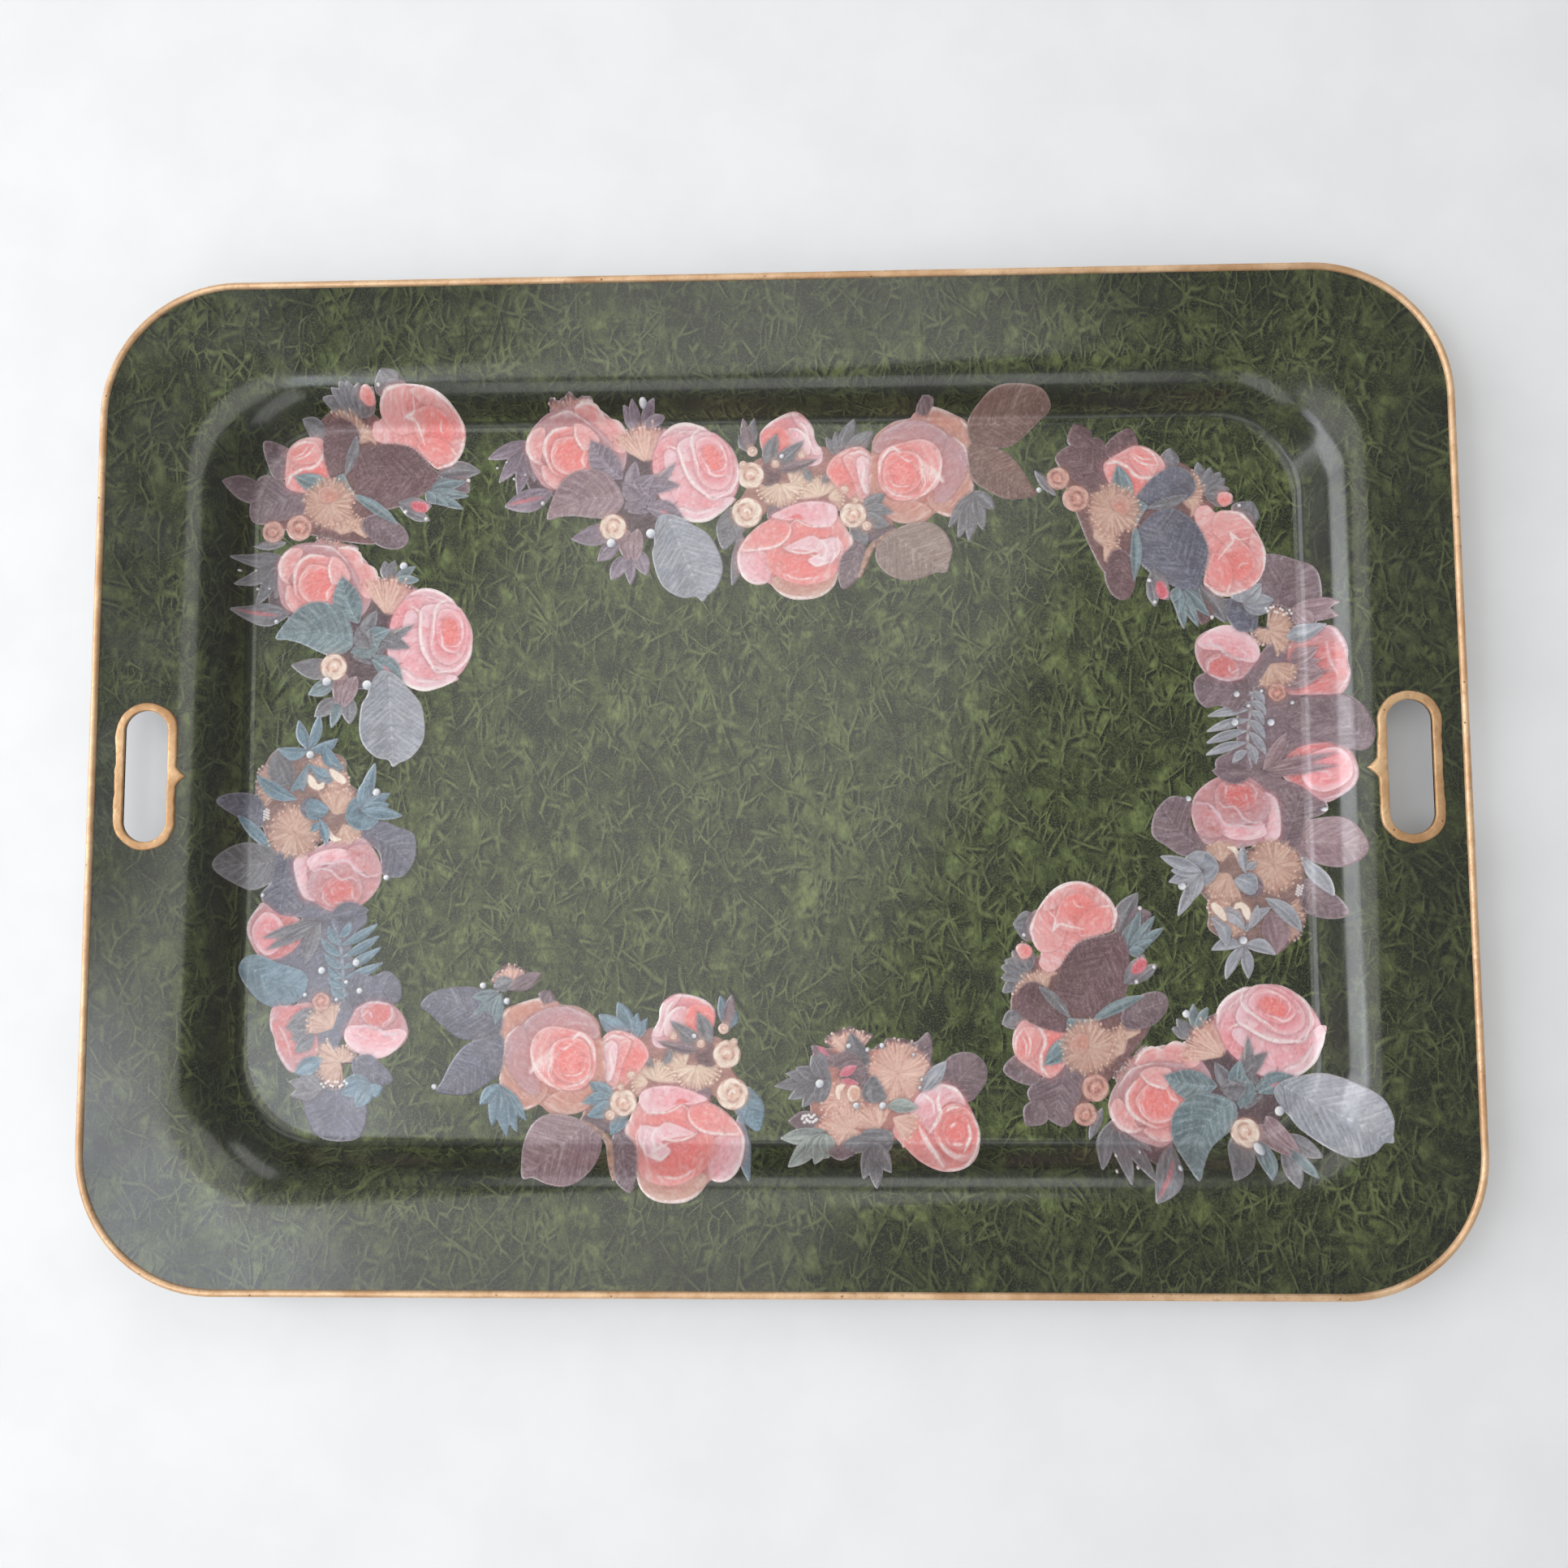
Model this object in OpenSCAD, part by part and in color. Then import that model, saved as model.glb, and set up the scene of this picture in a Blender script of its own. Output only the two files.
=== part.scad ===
// Large pressed-steel serving tray with a wired gilt edge, two hand slots
// and a wreath of cut-out paper rose sprays glued round the well.
// Millimetres, +Z up. Origin: middle of the underside, on the table.

/* [Tray] */
// Overall length, over the gilt edge
tray_l = 686; // [600:1:760]
// Overall width, over the gilt edge
tray_w = 510; // [440:1:580]
// Outer corner radius
corner_r = 70; // [60:1:90]
// Sheet thickness
sheet_t = 0.8; // [0.6:0.1:1.2]
// Width of the sloping border, from floor crease to outer edge
flare = 68; // [64:1:76]
// Corner radius of the flat floor
floor_r = 46; // [35:1:56]

/* [Border profile] */
// Slope of the wall above the floor
wall_angle = 57.5; // [50:0.5:60]
// Slope of the broad outer lip
lip_angle = 6; // [2:1:10]
// Bend radius where the floor turns up into the wall
heel_r = 6; // [4:0.5:8]
// Bend radius where the wall turns out into the lip
brow_r = 24; // [16:0.5:26]
// Plan distance from floor crease to the start of the flat lip
brow_u = 26; // [25:1:29]

/* [Wired edge] */
// Radius of the gilt bead
bead_r = 1.9; // [1.6:0.1:2.4]
// Radius of the stiffening wire
wire_r = 1; // [0.8:0.1:1.2]

/* [Hand slots] */
// Slot length
slot_l = 66.4; // [60:0.2:80]
// Slot width
slot_w = 21; // [18:0.5:24]
// Distance from the outer edge to the middle of a slot
slot_in = 28; // [26:0.5:30]
// Width of the gilt collar band
collar_band = 4.4; // [3:0.1:5]
// Thickness of the collar
collar_t = 1.2; // [0.8:0.1:1.6]
// Reach of the collar's pointed cusp
cusp = 4.6; // [3:0.1:6]

/* [Paper] */
// Thickness of the lacquered paper
paper_t = 0.25; // [0.2:0.05:0.4]
// Scissor margin left round the printed shapes
margin = 0.5; // [0.2:0.1:1]
// Gaps up to twice this wide between the printed shapes stay uncut
web = 3; // [2:0.5:5]

/* [Hidden] */
$fn = 48;
corner_steps = 12;
heel_steps = 3;
brow_steps = 5;
hem_u = flare - 8;        // beyond this the corners run concentric with the edge
heel_u = -3;              // the heel bend starts this far inside the crease
paper_u = 36;             // no paper reaches further up the border than this
floor_hl = tray_l / 2 - flare;
floor_hw = tray_w / 2 - flare;

// Border profile: the heel bend, a straight wall, the brow bend, the lip.
wall_len = (brow_u - heel_u - heel_r * sin(wall_angle)
    - brow_r * (sin(wall_angle) - sin(lip_angle))) / cos(wall_angle);
brow_z = sheet_t + heel_r * (1 - cos(wall_angle)) + wall_len * sin(wall_angle)
    + brow_r * (cos(lip_angle) - cos(wall_angle));
function lip_z(u) = brow_z + (u - brow_u) * tan(lip_angle);
bead_u = flare - bead_r;
bead_z = lip_z(bead_u) - sheet_t / 2 / cos(lip_angle);
edge_u = bead_u - wire_r;

// Points [u, z, slope] of the upper surface, from the floor outwards.
heel = [for (i = [0:heel_steps]) let (a = wall_angle * i / heel_steps)
    [heel_u + heel_r * sin(a), sheet_t + heel_r * (1 - cos(a)), a]];
brow = [for (i = [0:brow_steps])
    let (a = wall_angle + (lip_angle - wall_angle) * i / brow_steps)
    [brow_u - brow_r * (sin(a) - sin(lip_angle)),
     brow_z + brow_r * (cos(a) - cos(lip_angle)), a]];
upper = concat(heel, brow, [[paper_u, lip_z(paper_u), lip_angle]]);
lip = [[hem_u, lip_z(hem_u), lip_angle], [edge_u, lip_z(edge_u), lip_angle]];

// Corner radius of the level outline that lies u outside the floor crease.
function ring_r(u) = u < hem_u
    ? floor_r + (corner_r - flare + hem_u - floor_r) * u / hem_u
    : corner_r - flare + u;

function ring(u, z) = let (r = ring_r(u))
    [for (q = [0:3], i = [0:corner_steps])
        let (a = 90 * (q + i / corner_steps),
             sx = q == 0 || q == 3 ? 1 : -1,
             sy = q < 2 ? 1 : -1)
        [sx * (floor_hl + u - r) + r * cos(a),
         sy * (floor_hw + u - r) + r * sin(a), z]];

// Closed shell through level rings; the first and last rings are capped.
module ring_loft(profile) {
    n = 4 * (corner_steps + 1);
    last = len(profile) - 1;
    points = [for (p = profile) each ring(p[0], p[1])];
    bands = [for (k = [0:last - 1], i = [0:n - 1])
        let (j = (i + 1) % n, a = k * n + i, b = k * n + j, c = b + n, d = a + n)
        each [[a, b, c], [a, c, d]]];
    polyhedron(points, concat(bands,
        [[for (i = [n - 1:-1:0]) i], [for (i = [0:n - 1]) last * n + i]]));
}

function reversed(v) = [for (i = [len(v) - 1:-1:0]) v[i]];

module stadium(length, width) {
    square([width, length - width], center = true);
    for (s = [-1, 1])
        translate([0, s * (length - width) / 2]) circle(d = width);
}

// ---- Metalwork ----

module tray_pan() {
    top = concat(upper, lip);
    under = [for (p = top)
        [p[0] + sheet_t * sin(p[2]), p[1] - sheet_t * cos(p[2])]];
    slot_x = tray_l / 2 - slot_in;
    color("darkolivegreen") difference() {
        ring_loft(concat(top, reversed(under)));
        for (s = [-1, 1])
            translate([s * slot_x, 0, brow_z / 2])
                linear_extrude(brow_z) stadium(slot_l, slot_w);
    }
}

// Sweeps a 2D section round the edge: x outwards and y up from the bead's middle.
module round_edge() {
    hl = tray_l / 2 - corner_r;
    hw = tray_w / 2 - corner_r;
    path_r = corner_r - bead_r;
    translate([0, 0, bead_z]) for (q = [0:3]) {
        side = q % 2 == 0 ? [hl, hw] : [hw, hl];
        rotate(90 * q) {
            translate([side[0], side[1], 0])
                rotate_extrude(angle = 90) translate([path_r, 0]) children();
            translate([side[0] + path_r, side[1], 0]) rotate([90, 0, 0])
                linear_extrude(2 * side[1]) children();
        }
    }
}

module rim_binding() {
    color("burlywood") round_edge() difference() {
        circle(bead_r);
        circle(wire_r);
        rotate(lip_angle) translate([-2 * bead_r, -sheet_t / 2 - 0.05])
            square([2 * bead_r, sheet_t + 0.1]);
    }
}

module rim_wire() {
    color("dimgray") round_edge() circle(wire_r - 0.02);
}

module collar_outline() {
    outer_w = slot_w + 2 * collar_band;
    reach = cusp + 0.3;
    flank_r = reach + 0.3;
    difference() {
        union() {
            stadium(slot_l + 2 * collar_band, outer_w);
            translate([-outer_w / 2 - cusp, -flank_r])
                square([cusp + 1, 2 * flank_r]);
        }
        for (s = [-1, 1])
            translate([-outer_w / 2 - reach, s * (flank_r + 0.1)]) circle(flank_r);
        stadium(slot_l, slot_w);
    }
}

module handle_collar(side) {
    mid_u = flare - slot_in;
    color("tan") mirror([side < 0 ? 1 : 0, 0, 0])
        translate([floor_hl + mid_u, 0, lip_z(mid_u)])
            rotate([0, -lip_angle, 0]) linear_extrude(collar_t) collar_outline();
}

// ---- Paper cut-outs ----

// A print is [blooms, leaves] about its own middle.
// Bloom: [x, y, half length, half width, turn]. Leaf: [base x, y, tip x, y, width].
rose_pair = [
    [[-33, 26, 25, 24, 0], [31, 13, 23, 27, 0], [4, 28, 13, 13, 0], [0, 2, 14, 12, 0],
     [-13, -15, 7.5, 7.5, 0], [-4, -24, 8, 10, 0]],
    [[-4, 3, -48, -11, 26], [-4, 4, -25, 31, 12], [12, -9, 34, -55, 37],
     [-10, -14, -34, -22, 10], [-9, -19, -21, -34, 8], [-5, -27, -14, -44, 8],
     [-4, -27, -3, -47, 7], [0, -27, 5, -42, 7], [-2, 34, -1, 48, 6],
     [1, 36, 10, 48, 5], [-56, 28, -80, 23, 7], [-58, 28, -73, 10, 7],
     [-59, 30, -64, 2, 8], [-56, 26, -56, 9, 6], [-42, 6, -71, -4, 13]]];
rose_bank = [
    [[37, 12, 26, 28, 0], [-1, 10, 11, 13, 0], [-35, 29, 16, 13, -10],
     [-33, -31, 30, 26, 0], [-39, 4, 13, 11, 0], [-18, 1, 12, 11, 0],
     [-55, 10, 7, 8, 0], [-57, -10, 8, 9, 0], [-1, -12, 7, 7, 0],
     [31, -33, 20, 14, -10], [-46, 18, 12, 8, 0]],
    [[0, 20, 1, 38, 8], [-6, 18, -10, 32, 6], [-11, 16, -15, 30, 6], [2, 20, 11, 33, 7],
     [-51, 18, -53, 39, 6], [-53, 18, -59, 39, 6], [-56, 12, -61, 31, 6],
     [-54, -6, -70, -30, 14], [-60, -14, -65, -50, 8], [6, -16, -7, -52, 15],
     [58, -4, 50, -20, 6], [58, -4, 54, -26, 6], [59, -4, 60, -28, 7],
     [60, -4, 68, -23, 6], [60, 0, 73, -10, 6], [54, 20, 94, -4, 28],
     [54, 18, 104, 48, 30]]];
dark_leaf_spray = [
    [[24, 24, 21, 19, 0], [7, 1, 22, 18, -10], [-21, 14, 9, 17, 8],
     [-39, 9, 12, 14, 0], [-25, -14, 16, 13, 0], [-8, -28, 9, 8, 0],
     [5, -29, 12, 9, -15], [-43, -26, 7, 6, 0], [-57, -28, 5.5, 5.5, 0],
     [-17, 27, 14, 8, 0], [-7, 36, 13, 6, 0], [-14, -3, 10, 7, 0],
     [20, -16, 8, 5, -15], [-50, -27, 3, 2, 0], [14, 28, 12, 10, 0]],
    [[-36, -10, -75, -12, 30], [-42, 0, -61, 18, 16], [0, 30, 9, 51, 14],
     [-6, 34, -16, 49, 12], [-18, 27, -39, 31, 11],
     [24, 0, 53, 4, 11], [22, -6, 48, -13, 15]]];
tall_spray = [
    [[8, -24, 22, 21, 0], [-16, 0, 15, 14, 0], [9, 10, 12, 14, 0],
     [2, 30, 10, 9, 0], [-27, 27, 9, 9, 0], [38, -13, 14, 13, 0],
     [-18, -34, 14, 14, 0], [-12, 34, 14, 11, 0], [17, 6, 8, 8, 0],
     [-24, -56, 14, 15, 0], [-24, -81, 17, 13, 0], [9, -69, 14, 18, 0],
     [32, -83, 11, 10, 0], [30, -106, 17, 14, 0], [-14, -110, 12, 16, 0],
     [7, -105, 13, 14, 0], [9, -124, 12, 13, 0], [8, -89, 14, 12, 0],
     [0, -47, 24, 11, 0], [-6, -8, 12, 16, 0], [6, -147, 12, 14, 0]],
    [[-22, -1, -49, 13, 18], [-20, -20, -50, -20, 24], [-9, 38, -14, 56, 8],
     [-7, 38, -2, 59, 7], [-8, 38, 7, 46, 7], [-12, 36, -26, 43, 9],
     [4, 44, 12, 28, 8], [20, 8, 27, 33, 8], [18, 7, 42, 5, 9],
     [17, 10, 35, 16, 7], [14, -42, 26, -44, 9], [12, -62, 30, -51, 8],
     [12, -68, 31, -58, 7], [12, -74, 33, -63, 7], [12, -80, 33, -72, 7],
     [12, -116, 39, -131, 20], [24, -124, 19, -144, 11],
     [6, -128, -15, -132, 7], [6, -132, -14, -138, 7]]];
tassel_spray = [
    [[25, -13, 20, 19, 0], [38, 11, 11, 11, 0], [4, 13, 14, 16, 0],
     [-22, -12, 14, 13, 0], [-3, -12, 12, 11, 0], [-22, 26, 9, 9, 0],
     [-17, 12, 9, 9, 0], [-34, 5, 8, 12, 0], [-26, 4, 10, 11, 0],
     [-26, -25, 7, 3, 0]],
    [[8, 12, 20, 33, 14], [14, 0, 28, 19, 8], [-26, 16, -41, 27, 8],
     [-32, 7, -53, 12, 6], [-32, 6, -59, 6, 6], [-34, 3, -52, -1, 6],
     [-32, -1, -45, -5, 6], [-32, 8, -48, 15, 6], [-28, -9, -53, -11, 9],
     [-28, -18, -56, -20, 10], [-30, -19, -52, -31, 8], [-28, -20, -44, -28, 7],
     [-28, -20, -39, -29, 7], [-6, -18, -15, -35, 7], [-5, -18, -8, -39, 8],
     [-4, -18, -1, -33, 7]]];
small_sprig = [
    [[6, 9, 7, 4, -10], [-9, 6, 5, 3, 15], [2, -1, 7, 8, 0]],
    [[2, 5, -18, -3, 5], [4, 2, -16, -10, 6], [4, 0, -9, -12, 5],
     [4, 0, -4, -17, 5], [8, 9, 19, 10, 4]]];

// Each cut-out: [name, print, x, y, turn, mirrored, names of those glued over it]
cutouts = [
    ["cutout_top_left", dark_leaf_spray, -208, 160, 0, 0, []],
    ["cutout_left_upper", rose_pair, -213.5, 70, -18.4, 0, []],
    ["cutout_left_lower", tall_spray, -235, -25, 0, 0, ["cutout_left_upper"]],
    ["cutout_top_middle", rose_pair, -70, 148, 0, 0, []],
    ["cutout_top_bank", rose_bank, 45, 150, 0, 0, ["cutout_top_middle"]],
    ["cutout_top_right", dark_leaf_spray, 205.5, 121.5, -58, 0, []],
    ["cutout_right", tall_spray, 241.5, -48, 166.7, 0, ["cutout_top_right"]],
    ["cutout_corner_upper", dark_leaf_spray, 163, -110, 59.6, 0, []],
    ["cutout_bottom_right", rose_pair, 237.5, -161.5, 40.7, 0, []],
    ["cutout_bottom_middle", tassel_spray, 60, -165, 0, 0, []],
    ["cutout_bottom_left", rose_bank, -78, -154.5, 2.4, 1, ["cutout_small_sprig"]],
    ["cutout_small_sprig", small_sprig, -138, -112, 0, 0, []]];

module bloom(b) {
    translate([b[0], b[1]]) rotate(b[4]) scale([1, b[3] / b[2]])
        circle(b[2], $fn = 20);
}

// Pointed oval: the overlap of two discs that cross at base and tip.
module leaf(l) {
    span = norm([l[2] - l[0], l[3] - l[1]]);
    disc_r = (span * span + l[4] * l[4]) / (4 * l[4]);
    translate([l[0], l[1]]) rotate(atan2(l[3] - l[1], l[2] - l[0]))
        intersection_for (s = [-1, 1])
            translate([span / 2, s * (disc_r - l[4] / 2)])
                circle(disc_r, $fn = 40);
}

// The outline that the scissors follow, with narrow gaps left uncut.
module cut_line(c) {
    translate([c[2], c[3]]) rotate(c[4]) mirror([c[5], 0])
        offset(r = margin - web, $fn = 12) offset(r = web, $fn = 12) {
            for (b = c[1][0]) bloom(b);
            for (l = c[1][1]) leaf(l);
        }
}

// The thin layer in which all the paper lies, flush on the pan.
module paper_layer() {
    lifted = [for (p = upper) [p[0], p[1] + paper_t]];
    ring_loft(concat(lifted, reversed(upper)));
}

// Where two cut-outs cross, the lower one stops at the edge of the upper one.
module paper_cutout(c) {
    color("rosybrown") intersection() {
        paper_layer();
        translate([0, 0, sheet_t / 2]) linear_extrude(brow_z + 5) difference() {
            cut_line(c);
            for (over = cutouts)
                if (len([for (name = c[6]) if (name == over[0]) name]) > 0)
                    cut_line(over);
        }
    }
}

tray_pan();
rim_binding();
rim_wire();
handle_collar(-1);  // handle_collar_left
handle_collar(1);  // handle_collar_right
for (c = cutouts) paper_cutout(c);
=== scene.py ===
"""The looks of a large painted serving tray: marbled green lacquer, a worn gilt
edge and a wreath of hand-tinted paper rose sprays under the varnish.

The tray's shape and its prints are given in millimetres, in the tray's own frame
seen from above, or in a print's own frame. Lamps, the camera and the heights and
distances inside materials are in metres."""

import math

import bpy
import numpy as np
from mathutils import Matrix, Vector


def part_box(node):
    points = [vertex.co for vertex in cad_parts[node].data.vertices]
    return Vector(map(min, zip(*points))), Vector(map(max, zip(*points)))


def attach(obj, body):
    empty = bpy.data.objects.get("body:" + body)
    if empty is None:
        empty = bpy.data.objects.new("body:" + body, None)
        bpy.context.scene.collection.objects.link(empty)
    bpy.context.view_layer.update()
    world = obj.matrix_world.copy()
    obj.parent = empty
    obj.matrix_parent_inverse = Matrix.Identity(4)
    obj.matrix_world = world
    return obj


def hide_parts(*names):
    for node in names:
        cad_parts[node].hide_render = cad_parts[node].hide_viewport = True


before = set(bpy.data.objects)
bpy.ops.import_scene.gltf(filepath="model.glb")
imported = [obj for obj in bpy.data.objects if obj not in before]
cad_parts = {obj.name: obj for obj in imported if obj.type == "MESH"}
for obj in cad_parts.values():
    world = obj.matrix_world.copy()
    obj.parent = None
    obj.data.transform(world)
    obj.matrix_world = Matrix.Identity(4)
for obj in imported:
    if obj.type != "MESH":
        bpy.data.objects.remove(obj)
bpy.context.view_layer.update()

MM = 0.001

# ---------------------------------------------------------------- the tray's shape

SHEET = 0.8  # sheet thickness
PAPER = 0.25  # lacquered paper thickness
PAPER_STEP = 0.03  # each paper lies this much above the one glued before it
CORNER_R = 70  # outer corner radius
FLARE = 68  # width of the sloping border
FLOOR_R = 46  # corner radius of the flat floor
WALL_ANGLE = math.radians(57.5)
LIP_ANGLE = math.radians(6)
HEEL_R, BROW_R = 6, 24  # bend radii under and over the wall
HEEL_U, BROW_U = -3, 26  # where the two bends begin and end, outside the crease
HEM_U = FLARE - 8  # beyond this the corners run concentric with the edge
BEAD_R = 1.9
EDGE_INSET = 0.6  # the sheet's edge stops this far inside the middle of the bead
HEEL_STEPS, WALL_STEPS, BROW_STEPS, LIP_STEPS = 12, 6, 14, 8  # rings across each
SHARP_ANGLE = math.radians(35)
UNDERSIDE_TURN = 0.2  # faces whose normal rises less than this are underside
PUNCH = 15  # how far the slot punch reaches above and below the lip
SLOT_L, SLOT_W, SLOT_IN = 66.4, 21, 28
COLLAR_BAND, COLLAR_T, CUSP = 4.4, 1.2, 4.6
CUSP_FOOT, CUSP_CURVE = CUSP + 0.8, 1.45  # half width of the cusp, and how it tapers

low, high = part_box("rim_binding")
FLOOR_HL = (high[0] - low[0]) / 2 / MM - FLARE
FLOOR_HW = (high[1] - low[1]) / 2 / MM - FLARE
SLOT_X = FLOOR_HL + FLARE - SLOT_IN

# The straight wall between the heel bend and the brow bend.
WALL_U0 = HEEL_U + HEEL_R * math.sin(WALL_ANGLE)
WALL_Z0 = SHEET + HEEL_R * (1 - math.cos(WALL_ANGLE))
WALL_U1 = BROW_U - BROW_R * (math.sin(WALL_ANGLE) - math.sin(LIP_ANGLE))
WALL_Z1 = WALL_Z0 + (WALL_U1 - WALL_U0) * math.tan(WALL_ANGLE)
BROW_Z = WALL_Z1 + BROW_R * (math.cos(LIP_ANGLE) - math.cos(WALL_ANGLE))


def profile_height(u):
    """Height of the upper surface at u outside the floor crease."""
    u = np.asarray(u, float)
    heel = SHEET + HEEL_R - np.sqrt(np.maximum(HEEL_R**2 - (u - HEEL_U) ** 2, 0))
    wall = WALL_Z0 + (u - WALL_U0) * math.tan(WALL_ANGLE)
    middle_u = BROW_U + BROW_R * math.sin(LIP_ANGLE)
    middle_z = BROW_Z - BROW_R * math.cos(LIP_ANGLE)
    brow = middle_z + np.sqrt(np.maximum(BROW_R**2 - (u - middle_u) ** 2, 0))
    lip = BROW_Z + (u - BROW_U) * math.tan(LIP_ANGLE)
    limits = [u <= HEEL_U, u <= WALL_U0, u <= WALL_U1, u <= BROW_U]
    return np.select(limits, [SHEET, heel, wall, brow], lip)


def corner_radius(u):
    """Corner radius of the level outline u outside the crease."""
    gain = (CORNER_R - FLARE + HEM_U - FLOOR_R) / HEM_U
    return FLOOR_R + gain * u if u < HEM_U else CORNER_R - FLARE + u


def outside_crease(x, y):
    """How far outside the floor crease a plan point lies, up to the hem."""
    gain = (CORNER_R - FLARE + HEM_U - FLOOR_R) / HEM_U
    px = np.abs(x) - (FLOOR_HL - FLOOR_R)
    py = np.abs(y) - (FLOOR_HW - FLOOR_R)
    spread = 1 - gain
    a = 2 * spread**2 - gain**2
    b = -2 * spread * (px + py) - 2 * gain * FLOOR_R
    c = px**2 + py**2 - FLOOR_R**2
    corner_u = (-b - np.sqrt(np.maximum(b * b - 4 * a * c, 0))) / (2 * a)
    side_u = np.maximum(np.abs(x) - FLOOR_HL, np.abs(y) - FLOOR_HW)
    in_corner = (px > spread * corner_u) & (py > spread * corner_u)
    return np.where(in_corner, corner_u, side_u)


def surface(x, y):
    """Height of the tray's upper surface at plan points."""
    return profile_height(outside_crease(x, y))


LIP_Z = BROW_Z + (FLARE - BEAD_R - BROW_U) * math.tan(LIP_ANGLE)
BEAD_Z = LIP_Z - SHEET / 2 / math.cos(LIP_ANGLE)


# ---------------------------------------------------------------- meshes


def mesh_object(name, points_mm, faces, materials, smooth=True):
    """A mesh object from plan points in millimetres and lists of corner numbers."""
    mesh = bpy.data.meshes.new(name)
    mesh.from_pydata((np.asarray(points_mm) * MM).tolist(), [], faces)
    for material in materials:
        mesh.materials.append(material)
    mesh.polygons.foreach_set("use_smooth", [smooth] * len(mesh.polygons))
    mesh.update()
    piece = bpy.data.objects.new(name, mesh)
    bpy.context.scene.collection.objects.link(piece)
    return piece


def join_rows(rows, columns, close=False):
    """Quads between neighbouring rows of points; each row closes on itself."""
    faces = []
    for r in range(rows if close else rows - 1):
        here, there = r * columns, (r + 1) % rows * columns
        for c in range(columns):
            d = (c + 1) % columns
            faces.append((here + c, there + c, there + d, here + d))
    return faces


def outline(u, corner_steps=36, long_steps=44, short_steps=28):
    """Plan points round the level outline u outside the crease, anticlockwise."""
    r = corner_radius(u)
    hl, hw = FLOOR_HL + u - r, FLOOR_HW + u - r
    points = []
    for q in range(4):
        middle_x = hl if q in (0, 3) else -hl
        middle_y = hw if q in (0, 1) else -hw
        for i in range(corner_steps + 1):
            a = math.pi / 2 * (q + i / corner_steps)
            points.append((middle_x + r * math.cos(a), middle_y + r * math.sin(a)))
        steps, run = (long_steps, 2 * hl) if q % 2 == 0 else (short_steps, 2 * hw)
        way_x, way_y = ((-1, 0), (0, -1), (1, 0), (0, 1))[q]
        x, y = points[-1]
        for i in range(1, steps):
            points.append((x + way_x * run * i / steps, y + way_y * run * i / steps))
    return np.array(points)


def stadium(length, width, steps=40):
    """Plan points round a slot that lies along y, anticlockwise from its lower right."""
    r, straight = width / 2, (length - width) / 2
    points = []
    for side in (1, -1):
        for i in range(steps + 1):
            a = math.pi * (i / steps if side > 0 else 1 + i / steps)
            points.append((r * math.cos(a), side * straight + r * math.sin(a)))
        for i in range(1, steps):
            t = 2 * straight * i / steps
            points.append((-side * r, side * (straight - t)))
    return np.array(points)


# ---------------------------------------------------------------- painting

PRINT_PITCH = 0.4  # spacing of the painted points on a sheet
MARGIN = 0.35  # paper left round the printed shapes by the scissors
PAPER_WHITE = (0.86, 0.84, 0.84)


def linear(colour):
    """Screen values 0..1 as linear light."""
    colour = np.asarray(colour, float)
    return np.where(colour <= 0.04045, colour / 12.92, ((colour + 0.055) / 1.055) ** 2.4)


def blend(a, b, amount):
    """From colour a to colour b, both of them one colour or a whole field."""
    amount = np.asarray(amount)[..., None]
    return np.asarray(a) * (1 - amount) + np.asarray(b) * amount


def value_noise(x, y, size, seed):
    """Smooth random field, 0 to 1, with blobs about size mm across."""
    table = np.random.default_rng(seed).random((64, 64))
    u, v = np.asarray(x) / size, np.asarray(y) / size
    i, j = np.floor(u).astype(int), np.floor(v).astype(int)
    s, t = u - i, v - j
    s, t = s * s * (3 - 2 * s), t * t * (3 - 2 * t)
    near = table[i % 64, j % 64] * (1 - s) + table[(i + 1) % 64, j % 64] * s
    far = table[i % 64, (j + 1) % 64] * (1 - s) + table[(i + 1) % 64, (j + 1) % 64] * s
    return near * (1 - t) + far * t


def smooth(points, closed=False, steps=7):
    """A soft curve through given points."""
    p = np.array(points, float)
    if closed:
        p = np.vstack([p[-1], p, p[:2]])
    else:
        p = np.vstack([2 * p[0] - p[1], p, 2 * p[-1] - p[-2]])
    t = np.arange(steps)[:, None] / steps
    parts = []
    for a, b, c, d in zip(p[:-3], p[1:-2], p[2:-1], p[3:]):
        curve = (2 * b + (c - a) * t + (2 * a - 5 * b + 4 * c - d) * t**2
                 + (3 * b - a - 3 * c + d) * t**3)
        parts.append(curve / 2)
    if not closed:
        parts.append(p[-2:-1])
    return np.vstack(parts)


def to_line(x, y, line):
    """Distance to a polyline, and how far along it, 0 to 1, the nearest point is."""
    best = np.full(x.shape, 1e9)
    along = np.zeros(x.shape)
    lengths = np.hypot(*np.diff(line, axis=0).T)
    start = 0
    for (ax, ay), (bx, by), length in zip(line[:-1], line[1:], lengths):
        t = ((x - ax) * (bx - ax) + (y - ay) * (by - ay)) / max(length**2, 1e-9)
        t = np.clip(t, 0, 1)
        d = np.hypot(x - ax - t * (bx - ax), y - ay - t * (by - ay))
        nearer = d < best
        best = np.where(nearer, d, best)
        along = np.where(nearer, (start + t * length) / lengths.sum(), along)
        start += length
    return best, along


def within(x, y, loop):
    """Which places lie inside a closed loop."""
    odd = np.zeros(x.shape, bool)
    for (ax, ay), (bx, by) in zip(loop, np.roll(loop, -1, 0)):
        if ay != by:
            odd ^= ((ay > y) != (by > y)) & (x < ax + (y - ay) * (bx - ax) / (by - ay))
    return odd


def ramp3(t, a, b, c):
    """Colour a at 0, b in the middle and c at 1."""
    t = np.clip(t, 0, 1)
    return blend(blend(a, b, np.clip(2 * t, 0, 1)), c, np.clip(2 * t - 1, 0, 1))


def ink(r, g, b):
    """A colour given as 0..255 screen values, for a print."""
    return np.array([r, g, b]) / 255


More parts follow.
